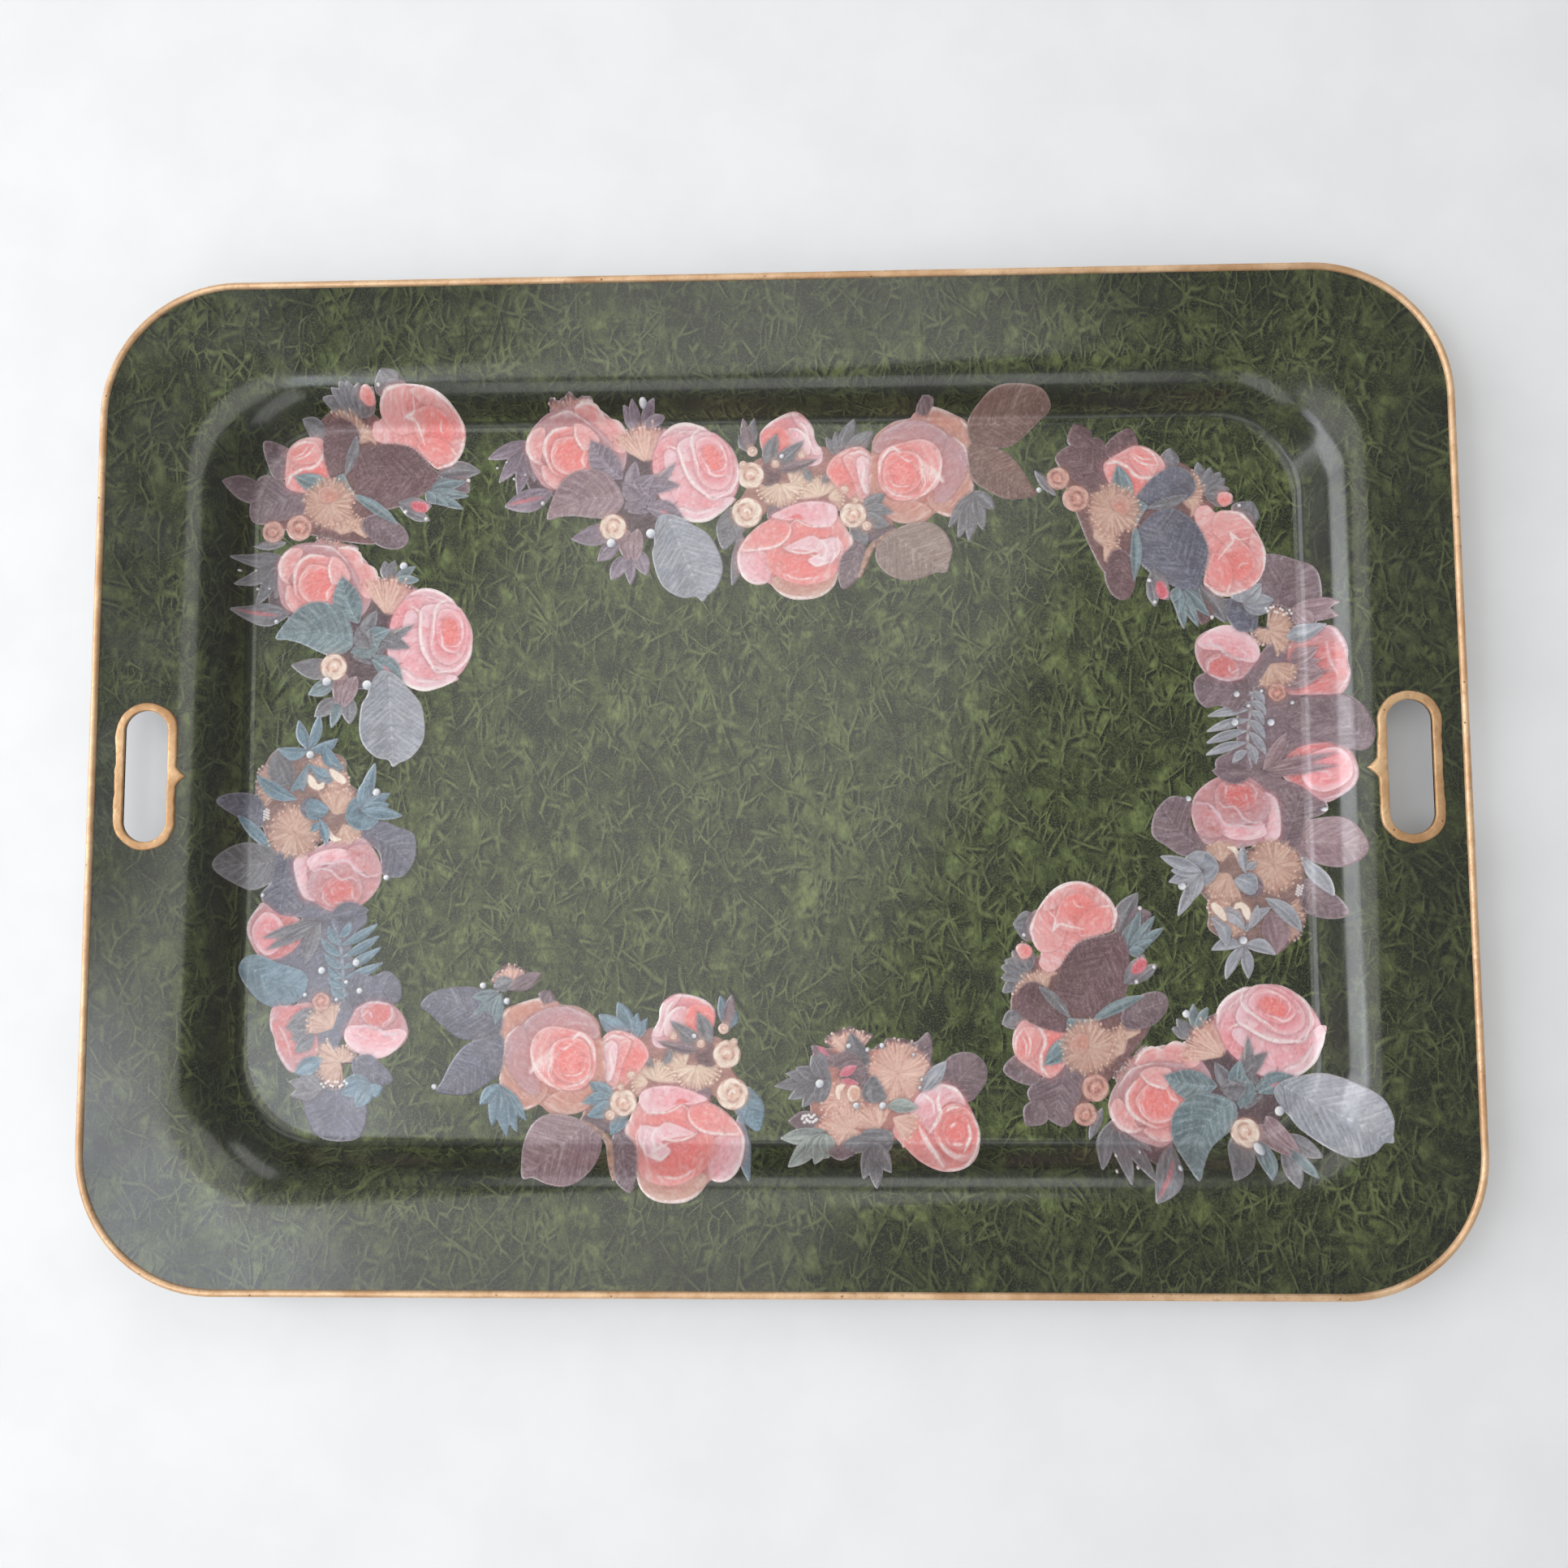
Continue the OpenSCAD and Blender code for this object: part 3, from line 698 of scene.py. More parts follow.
def paint_rose_bank(pitch, tints):
    """Three large roses round cream stamens, with two long leaves and a round one."""
    c = Canvas(-78, -62, 108, 56, pitch)
    long_leaf, round_leaf, small, plum = tints
    patch(c, [(-50, 18), (-20, 24), (0, 18), (14, 8), (18, -12), (20, -22), (8, -24), (-4, -16),
              (-14, -6), (-40, -8), (-56, -16), (-62, -8), (-57, 2), (-54, 12)],
          ink(158, 112, 104))
    patch(c, [(4, -19), (20, -19), (18, -24), (6, -28), (0, -34), (-4, -24)], plum[0])
    spray(c, (-56, 22), [(-61, 31), (-53, 39)], 6, small)
    leaf(c, (-55, 22), (-59, 39), 6, plum)
    spray(c, (-8, 18), [(-15, 29), (-10, 32)], 5, small)
    leaf(c, (-7, 22), (0, 38), 8, small)
    leaf(c, (-5, 22), (10, 32), 9, small, -1)
    blade(c, [(-60, -8), (-67, -9), (-73, -18), (-70, -30), (-64, -27), (-58, -20), (-55, -12)],
          [(-58, -10), (-64, -18), (-70, -29)], small)
    leaf(c, (-60, -21), (-65, -50), 7, small, 1)
    # Small rose, top left.
    heart = (-42, 28)
    petal(c, [(-50, 30), (-46, 36), (-38, 39.5), (-30, 40.5), (-23, 36), (-21, 28), (-17, 20),
              (-20, 14), (-36, 14), (-47, 20)], heart, BLUSH, (0.1, 0.9))
    petal(c, [(-33, 40), (-27, 38.5), (-22, 34), (-21, 27), (-18, 20), (-24, 21), (-26, 30)],
          heart, BLUSH, (0.7, 1.0))
    petal(c, [(-36, 33), (-30, 34), (-24, 28), (-24, 20), (-31, 20), (-34, 27)], heart, BLUSH,
          (0.5, 1.0), 0.5, 0.7)
    petal(c, [(-49, 30), (-45, 34), (-38, 34.5), (-34, 29), (-34, 21), (-40, 17), (-47, 20)],
          heart, CORAL, (0.05, 0.5), 0.3, 0.2)
    lines(c, BLUSH, 0.9, (1.4, (-50, 31), (-46, 35.5), (-39, 39), (-30, 40)),
          (1.6, (-30, 38), (-26, 34), (-24, 27), (-21, 20)),
          (1.2, (-32, 34), (-27, 31), (-25, 25)), (1.5, (-23, 36), (-21, 29), (-17, 20)))
    # Stamens and their dark leaves.
    stamens(c, -33, 3, 13, -10, 110, 46, STRAW)
    stamens(c, -39, 4, 13.5, 175, 365, 60, STRAW)
    stamens(c, -18, -3, 12, 30, 190, 50, STRAW)
    stamens(c, -14, -3, 9, -60, 60, 26, STRAW)
    leaf(c, (-46, 13), (-41, 31), 8, GREY, 1)
    leaf(c, (-45, 13), (-27, 27), 8, GREY, -1)
    leaf(c, (-44, 12), (-20, 17), 6, PLUM, -1)
    leaf(c, (-51, 10), (-39, 8), 12, DEEP_PLUM, 0, 0, 0, 1.6)
    leaf(c, (-23, 5), (-27, 13), 4, GREY)
    leaf(c, (-17, 4), (-12, 11), 4, GREY)
    leaf(c, (-46, -14), (-39, -9), 9, PLUM)
    # Bud rose in the middle.
    heart = (-4, 7)
    petal(c, [(-15, 10), (-12, 17), (-5, 22), (3, 23.5), (9, 19), (11.5, 11), (10, 2), (6, -4),
              (0, -6), (-5, -2), (-11, 4)], heart, CORAL, (0.0, 0.9))
    petal(c, [(-6, 18), (0, 21), (7, 19), (11, 12), (10, 4), (6, -3), (2, -4), (-1, 6), (-4, 12)],
          heart, CORAL, (0.1, 0.95))
    petal(c, [(1, 15), (4, 18.5), (9, 15), (11, 8), (9.5, 2), (6, -2), (3, 3)], heart, BLUSH,
          (0.6, 1.1), 0.4, 0.8)
    lines(c, CORAL, 0.85, (1.6, (-2, 19.5), (3, 21), (8, 18), (11, 11)),
          (1.3, (3, 17), (5, 12), (4, 5), (7, -3)), (1.1, (6, 17), (9, 11), (8, 4)),
          (1.2, (1, -4), (5, -6), (9, -3)), (0.8, (-9, 18), (-3, 21.5)))
    # Folded rose, bottom left.
    heart = (-27, -31)
    petal(c, [(-12, -7), (-24, -5.5), (-35, -8), (-47, -16), (-57, -24), (-62, -34), (-60, -44),
              (-54, -49), (-46, -48.5), (-40, -54), (-32, -57.5), (-20, -56.5), (-12, -51),
              (-9, -43), (-4, -37), (-1.5, -28), (-5, -20), (-9, -13)], heart, CORAL, (0.2, 0.95))
    petal(c, [(-58, -30), (-52, -31), (-46, -34), (-44, -42), (-47, -48.5), (-54, -49),
              (-60, -44), (-62, -36)], (-44, -36), BLUSH, (0.3, 0.9))
    petal(c, [(-44, -48), (-38, -44), (-24, -44), (-12, -44), (-9, -43), (-12, -51),
              (-20, -56.5), (-33, -57), (-40, -54)], (-26, -38), SALMON, (0.3, 0.9))
    petal(c, [(-46, -31), (-38, -30), (-30, -33), (-20, -33), (-8, -34), (-9, -42), (-16, -48),
              (-28, -50), (-40, -46), (-46, -40)], (-30, -38), CORAL, (0.0, 0.6), 0.25, 0.1)
    petal(c, [(-36, -18), (-26, -16), (-16, -18), (-9, -15), (-4, -22), (-3, -32), (-7, -38),
              (-12, -34), (-20, -33), (-31, -33), (-38, -30)], (-24, -22), CORAL, (0.05, 0.7))
    petal(c, [(-24, -24), (-18, -26), (-10, -25), (-8, -32), (-13, -38), (-20, -40), (-25, -37),
              (-20, -33), (-32, -31), (-37, -30)], (-30, -24), BLUSH, (0.6, 1.1), 0.3, 0.5)
    petal(c, [(-36, -16), (-47, -16), (-57, -24), (-61, -32), (-50, -31), (-40, -28.5),
              (-34, -23)], (-36, -18), CORAL, (0.1, 0.8))
    petal(c, [(-11, -8), (-22, -5.5), (-34, -8), (-44, -13), (-36, -15.5), (-30, -15),
              (-22, -18.5), (-14, -18.5), (-9.5, -14)], (-32, -14), BLUSH, (0.3, 1.0))
    stroke(c, [(-34, -14), (-30, -13.5), (-27, -15)], 2.6, ink(222, 96, 96), 0.8)
    lines(c, CORAL, 0.9, (1.4, (-60, -31), (-50, -31), (-40, -28.5), (-35, -23), (-34, -18)),
          (1.0, (-34, -18), (-31, -15.5), (-27, -17.5), (-22, -19), (-13, -18.5), (-10, -14)),
          (1.2, (-38, -30), (-30, -33), (-22, -32), (-18, -27)),
          (2.2, (-46, -49), (-40, -54), (-32, -57), (-20, -56.5), (-12, -51), (-9.5, -44)),
          (2.0, (-8, -14), (-4, -20), (-2, -28), (-4, -36), (-8, -41)),
          (1.5, (-57, -25), (-61.5, -33), (-60, -43), (-54, -48.5), (-47, -48.5)),
          (1.6, (-24, -34), (-16, -37), (-20, -40), (-24, -38)),
          (1.5, (-18, -26), (-15, -31), (-17, -36)), (1.0, (-12, -28), (-11, -35), (-14, -40)),
          (0.9, (-10, -24), (-7, -30), (-8, -36)), (0.9, (-38, -44), (-30, -47), (-20, -46)))
    # The large tan rose.
    heart = (25, 9)
    petal(c, [(9, 20), (11, 29), (20, 36), (30, 38), (35, 41.5), (42, 41.5), (52, 39), (59, 36),
              (62, 29), (60.5, 20), (60.5, 9), (62.5, 1), (60, -8), (52, -14.5), (43, -12),
              (36, -17), (24, -17.5), (15, -13), (9, -4), (8, 8)], heart, SALMON, (0.35, 1.0))
    petal(c, [(30, 37.5), (36, 41), (50, 39), (60, 34), (62, 25), (56, 21), (48, 28), (38, 33)],
          (36, 24), SALMON, (0.3, 0.8))
    petal(c, [(62, 1), (60, -8), (52, -14.5), (43, -12), (38, -4), (46, 8), (50, 20), (59, 16),
              (60.5, 8)], (38, 8), SALMON, (0.3, 0.75))
    petal(c, [(40, -12), (30, -17.5), (20, -16), (12, -8), (10, 0), (20, -6), (32, -6)],
          (24, 2), SALMON, (0.3, 0.9))
    petal(c, [(10, 22), (14, 30), (24, 36), (36, 36.5), (47, 31), (51, 24), (44, 18), (30, 24),
              (16, 20)], heart, DUSKY, (0.3, 0.9))
    petal(c, [(50, 28), (55, 25), (59, 18), (58, 8), (50, -4), (42, -6), (44, 8), (47, 20)],
          heart, DUSKY, (0.35, 0.8), 0.4, 0.1)
    petal(c, [(12, 12), (15, 21), (24, 25), (36, 27), (44, 22), (46, 12), (43, 2), (34, -4),
              (22, -5.5), (14, 1)], heart, CORAL, (0.2, 1.0))
    petal(c, [(15, 11), (18, 19), (27, 21), (34, 18), (36, 9), (32, 1), (23, -2), (16, 3)],
          heart, CORAL, (0.05, 0.8))
    petal(c, [(19, 10), (22, 15), (29, 15), (32, 9), (28, 3), (21, 4)], heart, CORAL,
          (0.0, 0.25), 0.2, 0.0)
    lines(c, CORAL, 0.9, (1.6, (13, 8), (13.5, 15), (18, 21), (24, 22)),
          (1.4, (16, 20), (20, 23), (24, 20)), (1.3, (15, 3), (20, -2), (28, -4)),
          (1.2, (24, 18), (28, 15.5), (31, 16)), (0.9, (18, 5), (22, 2), (28, 2)),
          (1.4, (46, 17), (44, 8), (38, -1), (30, -6)), (1.2, (52, 28), (58, 22), (60, 12)),
          (1.6, (62, 2), (60, -8), (52, -14), (44, -12)), (1.3, (35, 41), (43, 41), (52, 39)),
          (1.5, (56, 37), (61, 31), (62, 24)), (0.9, (34, 12), (37, 4), (34, -2)))
    for k in range(9):
        x = 33 + 1.4 * k
        stroke(c, [(x, 19 - 1.2 * k), (x + 2, 12 - k), (x + 2.5, 3 + 0.4 * k)], 1.3,
               ink(244, 230, 226), 0.75)
    # Leaves on the right.
    leaf(c, (38, 39), (35, 45.5), 9, plum)
    blade(c, [(60, 36), (66, 44), (74, 48.5), (86, 49), (96, 47), (102, 41), (97, 36),
              (90, 29), (82, 23), (72, 22), (62, 24)],
          [(60, 30), (76, 36), (90, 42), (102, 42)], long_leaf)
    blade(c, [(61, 24), (72, 22), (80, 19), (87, 11), (92, 2), (95, -3.5), (85, -5.5),
              (78, -5), (70, -1), (63, 4), (60, 12)],
          [(61, 18), (74, 10), (86, 2), (95, -3.5)], long_leaf)
    spray(c, (63, -1), [(49, -20), (54, -26), (59.5, -28), (67, -22), (73, -11)], 7, small)
    # Round leaf with its stem.
    blade(c, [(0, -28), (4, -28), (6, -36), (3, -43), (-1, -49), (-7, -52), (-9, -44),
              (-7, -35)], [(2, -29), (-2, -40), (-7, -52)], plum)
    stroke(c, [(21, -21), (14, -26), (8, -31), (5, -38), (2, -46)], 3.2, ink(188, 146, 124),
           1.0, 0.3, True)
    blade(c, [(20, -22), (28, -18.5), (38, -17.5), (46, -22), (50.5, -31), (49, -39), (47, -44),
              (42, -44), (34, -47), (25, -48), (16, -44), (11, -37), (12, -29)],
          [(20, -24), (30, -32), (40, -39), (47, -44)], round_leaf, 8)
    leaf(c, (3, -11), (16, -2), 8, small)
    leaf(c, (3, -11), (20, -12), 7, small, 1)
    leaf(c, (3, -12), (18, -19), 8, small, -1)
    leaf(c, (-3, -18), (6, -29), 8, small, 1)
    # Buds and berries.
    bud(c, -55, 9, 7, 10)
    bud(c, -57, -11, 8, 90)
    bud(c, -1, -13, 6.8, 200)
    for px, py, r in ((6, -19, 2.4), (-54, 22, 2.6), (-42, 15, 2), (-5.5, 0.5, 2),
                      (0, -5, 1.6), (-28, 19.5, 1.7), (-59, 15, 1.8)):
        bud(c, px, py, r, 40 * px)
    pearl(c, -38.5, 19, 1.2)
    pearl(c, 96.5, -1, 1.2)
    return brushwork(c)


def paint_dark_spray(pitch, tints):
    """A coral rose behind a broad dark leaf, with a small rose and a stamen wheel."""
    c = Canvas(-80, -42, 58, 54, pitch)
    broad, plum, teal, grey = tints
    patch(c, [(-46, 0), (-30, 30), (-4, 33), (6, 24), (26, 4), (20, -10), (-4, -20), (0, -34),
              (-16, -34), (-36, -30), (-62, -24), (-66, -20), (-50, -10)], ink(112, 76, 76))
    # Leaves behind.
    blade(c, [(-64, 1), (-57, 2), (-46, -4), (-38, -7), (-40, -19), (-52, -22), (-67, -23),
              (-68, -10)], [(-42, -8), (-54, -12), (-67, -15)], plum)
    leaf(c, (-62, -6), (-77, -5), 13, plum, 1)
    blade(c, [(-59, 18), (-52, 18), (-48, 14), (-50, 2), (-57, 1), (-60, 9)],
          [(-50, 4), (-55, 10), (-58, 17)], plum)
    leaf(c, (-29, 23), (-39, 30), 10, grey)
    leaf(c, (15, 39), (8, 50), 15, grey, 1)
    leaf(c, (10, 36), (20, 44), 12, grey)
    spray(c, (-8, 31), [(-25, 38), (-19, 42), (-14, 45), (-10, 45), (-4, 44), (3, 42)], 8, grey)
    leaf(c, (30, 2), (54, 3), 10, grey, 1.5)
    leaf(c, (38, 0), (48, -8), 9, plum, 1)
    spray(c, (25, -7), [(36, 0), (42, -1), (47, -2), (48, -10), (45, -17), (37, -15), (30, -14)],
          5.5, teal)
    leaf(c, (-50, -34), (-67, -36), 5, grey)
    # Coral bud at the top.
    petal(c, [(-5, 38), (-3, 42), (0, 43), (2.5, 40), (2, 36), (-2, 35)], (0, 37), CORAL,
          (0.1, 0.9))
    # Stamens at the top, then the rose.
    stamens(c, -16, 19, 16, 10, 172, 60, DUSK)
    stamens(c, -9, 24, 9, -40, 20, 18, DUSK)
    heart = (35, 25)
    petal(c, [(-3, 29), (3, 31), (6, 38), (12, 42), (20, 43), (32, 41.5), (40, 37), (45, 29),
              (45.5, 20), (43, 12), (38, 7), (31, 5), (26, 9), (16, 17), (2, 19), (-4, 23)],
          heart, CORAL, (0.15, 0.9))
    petal(c, [(3, 32), (10, 41), (20, 42.5), (24, 36), (22, 28), (10, 24)], heart, CORAL,
          (0.3, 0.8), 0.3, 0.2)
    petal(c, [(22, 41), (32, 41), (40, 36), (44.5, 28), (44, 18), (40, 11), (33, 7), (38, 18),
              (34, 32), (26, 36)], heart, CORAL, (0.3, 0.9), 0.3, 0.3)
    petal(c, [(18, 30), (24, 34), (33, 34), (39, 28), (38, 18), (30, 13), (22, 18)], heart,
          CORAL, (0.0, 0.5), 0.25, 0.3)
    petal(c, [(20, 18), (26, 22), (34, 20), (40, 14), (36, 8), (30, 8), (24, 12)], heart, CORAL,
          (0.0, 0.4), 0.3, 0.3)
    lines(c, CORAL, 0.95, (2.2, (19, 43), (30, 42), (38, 38), (43.5, 32), (45, 24)),
          (2.4, (45, 22), (43, 13), (38, 7.5), (31, 5.5)), (1.6, (5, 35), (10, 41), (20, 43)),
          (1.2, (23, 38), (21, 33), (16, 31), (20, 30), (21.5, 25), (24, 18)),
          (0.9, (34, 30), (32.5, 27), (33.5, 23.5)), (1.0, (38, 16), (39, 15), (41, 12)))
    # Small rose.
    heart = (-34, 3)
    petal(c, [(-51, 6), (-50, 15), (-45, 20.5), (-38, 23), (-31, 21.5), (-29, 14), (-28, 5),
              (-24, 0), (-32, -4), (-40, -7), (-49, -5), (-51, -1)], heart, CORAL, (0.2, 0.9))
    petal(c, [(-48, 17), (-41, 21), (-34, 19), (-32, 12), (-37, 9), (-45, 9), (-49, 12)],
          (-44, 14), CORAL, (0.2, 0.7), 0.3, 0.4)
    petal(c, [(-50, 3), (-44, 6), (-35, 7.5), (-30, 12), (-27, 3), (-30, -3), (-40, -6),
              (-48, -4)], (-34, 0), CORAL, (0.0, 0.6), 0.3, 0.2)
    lines(c, CORAL, 0.9, (1.8, (-50, 1), (-43, 5.5), (-36, 7), (-31.5, 12), (-31, 18)),
          (1.3, (-47, 11), (-42, 12), (-38, 15), (-35, 19)),
          (1.2, (-48, 17), (-42, 20.5), (-35, 20)), (1.6, (-50, -3), (-48, 2), (-44, 4)),
          (1.0, (-46, 12.5), (-42, 14.5), (-39, 18)))
    # Dark leaves in front.
    blade(c, [(-31, 18), (-29, 27), (-23, 31), (-15, 30), (-11.5, 24), (-13, 13), (-18, 2),
              (-25, -1), (-29, 7)], [(-22, 0), (-21, 14), (-20, 30)], broad)
    leaf(c, (-13, 24), (-19, 2), 6, grey, 1)
    blade(c, [(-15, 4), (-12, 13), (-6, 17), (1, 19), (9, 19), (17, 17), (23, 12), (28, 6),
              (32, 2), (28, -5), (22, -10), (12, -15), (2, -17), (-6, -14), (-12, -8)],
          [(30, 1), (12, 1), (-4, 0), (-14, 2)], broad, 9, 0.7)
    leaf(c, (-46, 2), (-24, -4), 10, teal, -1)
    blade(c, [(-26, -1), (-20, 3), (-17, -2), (-13.5, -9), (-20, -8), (-26, -5)],
          [(-19, 1), (-18, -4), (-15, -9)], teal)
    # Stamen wheel and the leaf beside it.
    stamens(c, -20, -30, 14, 20, 150, 46, DUSK)
    stamens(c, -7, -32, 11, 40, 150, 30, DUSK)
    blade(c, [(-6, -20), (2, -20), (10, -24), (15, -30), (15, -35), (10, -38), (2, -37),
              (-4, -33), (-9, -26)], [(-7, -21), (4, -28), (13, -36)], plum)
    leaf(c, (-15, -8), (10, -25), 6, teal, 1)
    stamens(c, -27, -13, 15.5, 100, 460, 96, DUSK)
    petal(c, [(-33, -7), (-30, -4), (-25, -4.5), (-22, -9), (-25, -12), (-31, -12)], (-27, -12),
          SALMON, (0.4, 1.0), 0.3, 0.3)
    # Bud leaf and buds.
    leaf(c, (10, -13), (28, -15), 11, grey, -2)
    leaf(c, (14, -17), (27, -23), 6, grey)
    petal(c, [(17, -14), (20, -12.5), (25, -13.5), (26.5, -16), (24, -18.5), (19, -17.5)],
          (20, -15), [ink(206, 84, 100)] * 2 + BLUSH[2:], (0.0, 0.8), 0.3, 0.2)
    bud(c, -43, -26, 6.8, 300, BUD_PEACH)
    bud(c, -57, -28, 5.8, 140, BUD_PEACH)
    for px, py in ((14, -18), (25, -22), (47.5, -1.5), (6, 43)):
        dot(c, px, py, 0.9)
    return brushwork(c)


def paint_tall_spray(pitch, tints):
    """A tall arrangement: stamen wheels, three roses and a fern, cut off at its foot."""
    c = Canvas(-54, -164, 56, 62, pitch)
    oval, teal, plum, grey = tints
    patch(c, [(-26, 40), (-8, 40), (10, 36), (12, 24), (20, 16), (24, 0), (14, -8), (0, -6),
              (-20, -16), (-32, 0), (-34, 22)], ink(136, 104, 98))
    patch(c, [(-30, -14), (-12, -16), (0, -42), (20, -44), (24, -50), (16, -60), (20, -84),
              (18, -96), (6, -120), (-6, -110), (-10, -94), (-26, -72), (-16, -60), (-10, -48),
              (-24, -46), (-32, -36), (-24, -26)], plum[1])
    # Stamen tufts at the top.
    stamens(c, -22, 22, 15, 95, 235, 50, DUSK)
    stamens(c, 0, 24, 14, -40, 130, 56, DUSK)
    stamens(c, 6, 6, 16, 10, 130, 60, DUSK)
    leaf(c, (-17, 20), (-25, 41), 14, grey, 2)
    leaf(c, (-14, 14), (-36, 27), 8, teal, 2)
    for tip, width, bend in (((-14, 56), 6, 1), ((-3, 59), 5.5, -1), ((-25, 41), 7, 2.5),
                             ((7, 46), 6, -2)):
        leaf(c, (-8, 40), tip, width, teal, bend)
    leaf(c, (-8, 33), (11, 31), 8, teal, -6)
    leaf(c, (0, 43), (11, 30), 7, teal, -3)
    leaf(c, (-8, 33), (-18, 18), 6, teal, 2)
    leaf(c, (-9, 31), (-11, 18), 5, teal, -1)
    pearl(c, -7.5, 37.5, 2)
    petal(c, [(-8, 27), (-5, 25), (-3, 22), (0, 23), (0, 20), (-4, 19), (-8, 22)], (-4, 22),
          BUD_CREAM, (0.6, 1.1))
    petal(c, [(3, 30), (8, 28), (12, 24), (10, 22), (5, 25)], (4, 24), BUD_CREAM, (0.5, 1.0))
    # Leaves on the left.
    blade(c, [(-31, 9), (-34, 15), (-41, 17.5), (-47, 16), (-49, 12), (-44, 6), (-38, 2),
              (-32, 0)], [(-33, 4), (-40, 10), (-48, 13)], plum, 6)
    leaf(c, (-43, 6), (-26, -12), 6, teal, -1)
    blade(c, [(-50, -20), (-46, -12), (-40, -8.5), (-32, -10), (-24, -14), (-24, -26),
              (-30, -31), (-38, -33), (-45, -28)], [(-24, -18), (-36, -20), (-49, -20)], grey, 6)
    blade(c, [(-24, -14), (-14, -15), (-10, -24), (-12, -34), (-10, -42), (-20, -47),
              (-29, -44), (-30, -35), (-26, -28)], [(-18, -16), (-20, -30), (-22, -45)], plum, 6)
    # Leaves on the right.
    blade(c, [(20, -4), (30, 2), (40, -1), (48, -5), (49, -16), (44, -25), (38, -27), (32, -25),
              (30, -14)], [(24, -4), (36, -10), (46, -20)], plum, 6)
    # The first rose.
    heart = (10, -35)
    petal(c, [(-15, -19), (-11, -15), (-4, -12), (4, -8), (14, -6), (22, -7), (28, -14),
              (31, -22), (31, -29), (27, -36), (20, -42), (11, -45.5), (2, -43), (-4, -39),
              (-10, -37), (-13, -28)], heart, ROSEWOOD, (0.3, 1.0))
    petal(c, [(-15, -19), (-11, -15), (-7, -17), (-8, -26), (-4, -34), (-3, -39), (-9, -37),
              (-13, -29)], (0, -28), BLUSH, (0.6, 1.1))
    petal(c, [(-8, -18), (0, -13), (10, -12), (18, -16), (22, -24), (12, -22), (2, -20),
              (-4, -24)], (10, -26), BLUSH, (0.2, 0.9))
    petal(c, [(14, -12), (24, -10), (30, -18), (31, -26), (25, -26), (18, -18)], (14, -22),
          ROSEWOOD, (0.2, 0.8))
    petal(c, [(-7, -30), (-2, -23), (8, -20), (16, -22), (21, -30), (20, -38), (12, -43),
              (2, -41), (-4, -37)], heart, ROSEWOOD, (0.2, 0.9))
    petal(c, [(0, -33), (4, -28), (11, -27), (17, -32), (16, -38), (9, -41), (2, -38)], heart,
          ROSEWOOD, (0.0, 0.35), 0.3, 0.3)
    lines(c, ROSEWOOD, 0.85, (1.7, (-8, -24), (-2, -20), (6, -19.5), (13, -18), (18, -23),
                           (24, -26.5), (31, -25)),
          (1.2, (-7, -29), (-3, -23), (4, -23), (10, -28), (16, -27), (21, -32)),
          (1.6, (-14, -20), (-13, -28), (-9, -36), (-4, -39)), (1.0, (1, -34), (1, -38), (5, -42)),
          (1.0, (16, -33), (16.5, -37), (18, -38)), (0.8, (5, -33), (6, -36)),
          (0.8, (9, -32), (12, -33)), (1.0, (8, -40), (12, -40)))
    # Stamen wheel, dark discs and the small teal leaves round it.
    stamens(c, -15, -3, 15.5, 0, 360, 110, DUSK)
    stamens(c, 11, 1, 12, -120, -20, 36, DUSK)
    leaf(c, (-12, 9), (0, 10), 11, plum, 0, 0, 0, 1.6)
    leaf(c, (-9, 12), (3, 8), 11, teal, -2, 0, 0, 1.4)
    petal(c, [(3, -1), (6, -5), (10, -7), (6, -8), (3, -5)], (6, -2), BUD_CREAM, (0.5, 1.0))
    leaf(c, (-2, 4), (2, -10), 5, teal, 1)
    leaf(c, (-2, 2), (-6, -3), 4, teal)
    blade(c, [(12, 4), (14, 12), (18, 15), (24, 12), (30, 6), (26, -1), (18, -2)],
          [(14, 4), (20, 8), (26, 4)], teal, 0)
    spray(c, (20, 8), [(27, 33), (22, 24), (35, 17), (35, 11), (42, 5)], 6.5, teal)
    pearl(c, 28, 17.5, 1.8)
    # Second rose, lower left.
    heart = (-22, -57)
    petal(c, [(-30, -40), (-22, -46), (-12, -48), (-9, -54), (-12, -62), (-20, -68), (-30, -69),
              (-37, -60), (-38.5, -51), (-34, -43)], heart, ROSEWOOD, (0.1, 0.9))
    petal(c, [(-30, -45), (-23, -47), (-19, -54), (-21, -63), (-28, -67), (-34, -62),
              (-36, -53)], (-26, -56), BLUSH, (0.1, 0.9))
    lines(c, ROSEWOOD, 0.9, (1.4, (-30, -41), (-36, -46), (-38, -54), (-35, -62)),
          (1.0, (-28, -45), (-22, -50), (-21.5, -60)), (0.9, (-29, -55), (-25, -55), (-24, -60)))
    # Oval leaf and the ragged dark leaves.
    blade(c, [(-39, -68), (-32, -67), (-22, -71), (-8, -76), (-7, -84), (-12, -91), (-22, -94),
              (-32, -90), (-39, -82), (-41.5, -74)],
          [(-38, -72), (-26, -80), (-8, -84)], oval, 7)
    spray(c, (0, -50), [(-14, -52), (-16, -58), (-30, -58), (-28, -64), (-10, -68), (-8, -72)],
          6, grey)
    leaf(c, (4, -48), (25, -44), 11, plum, 1)
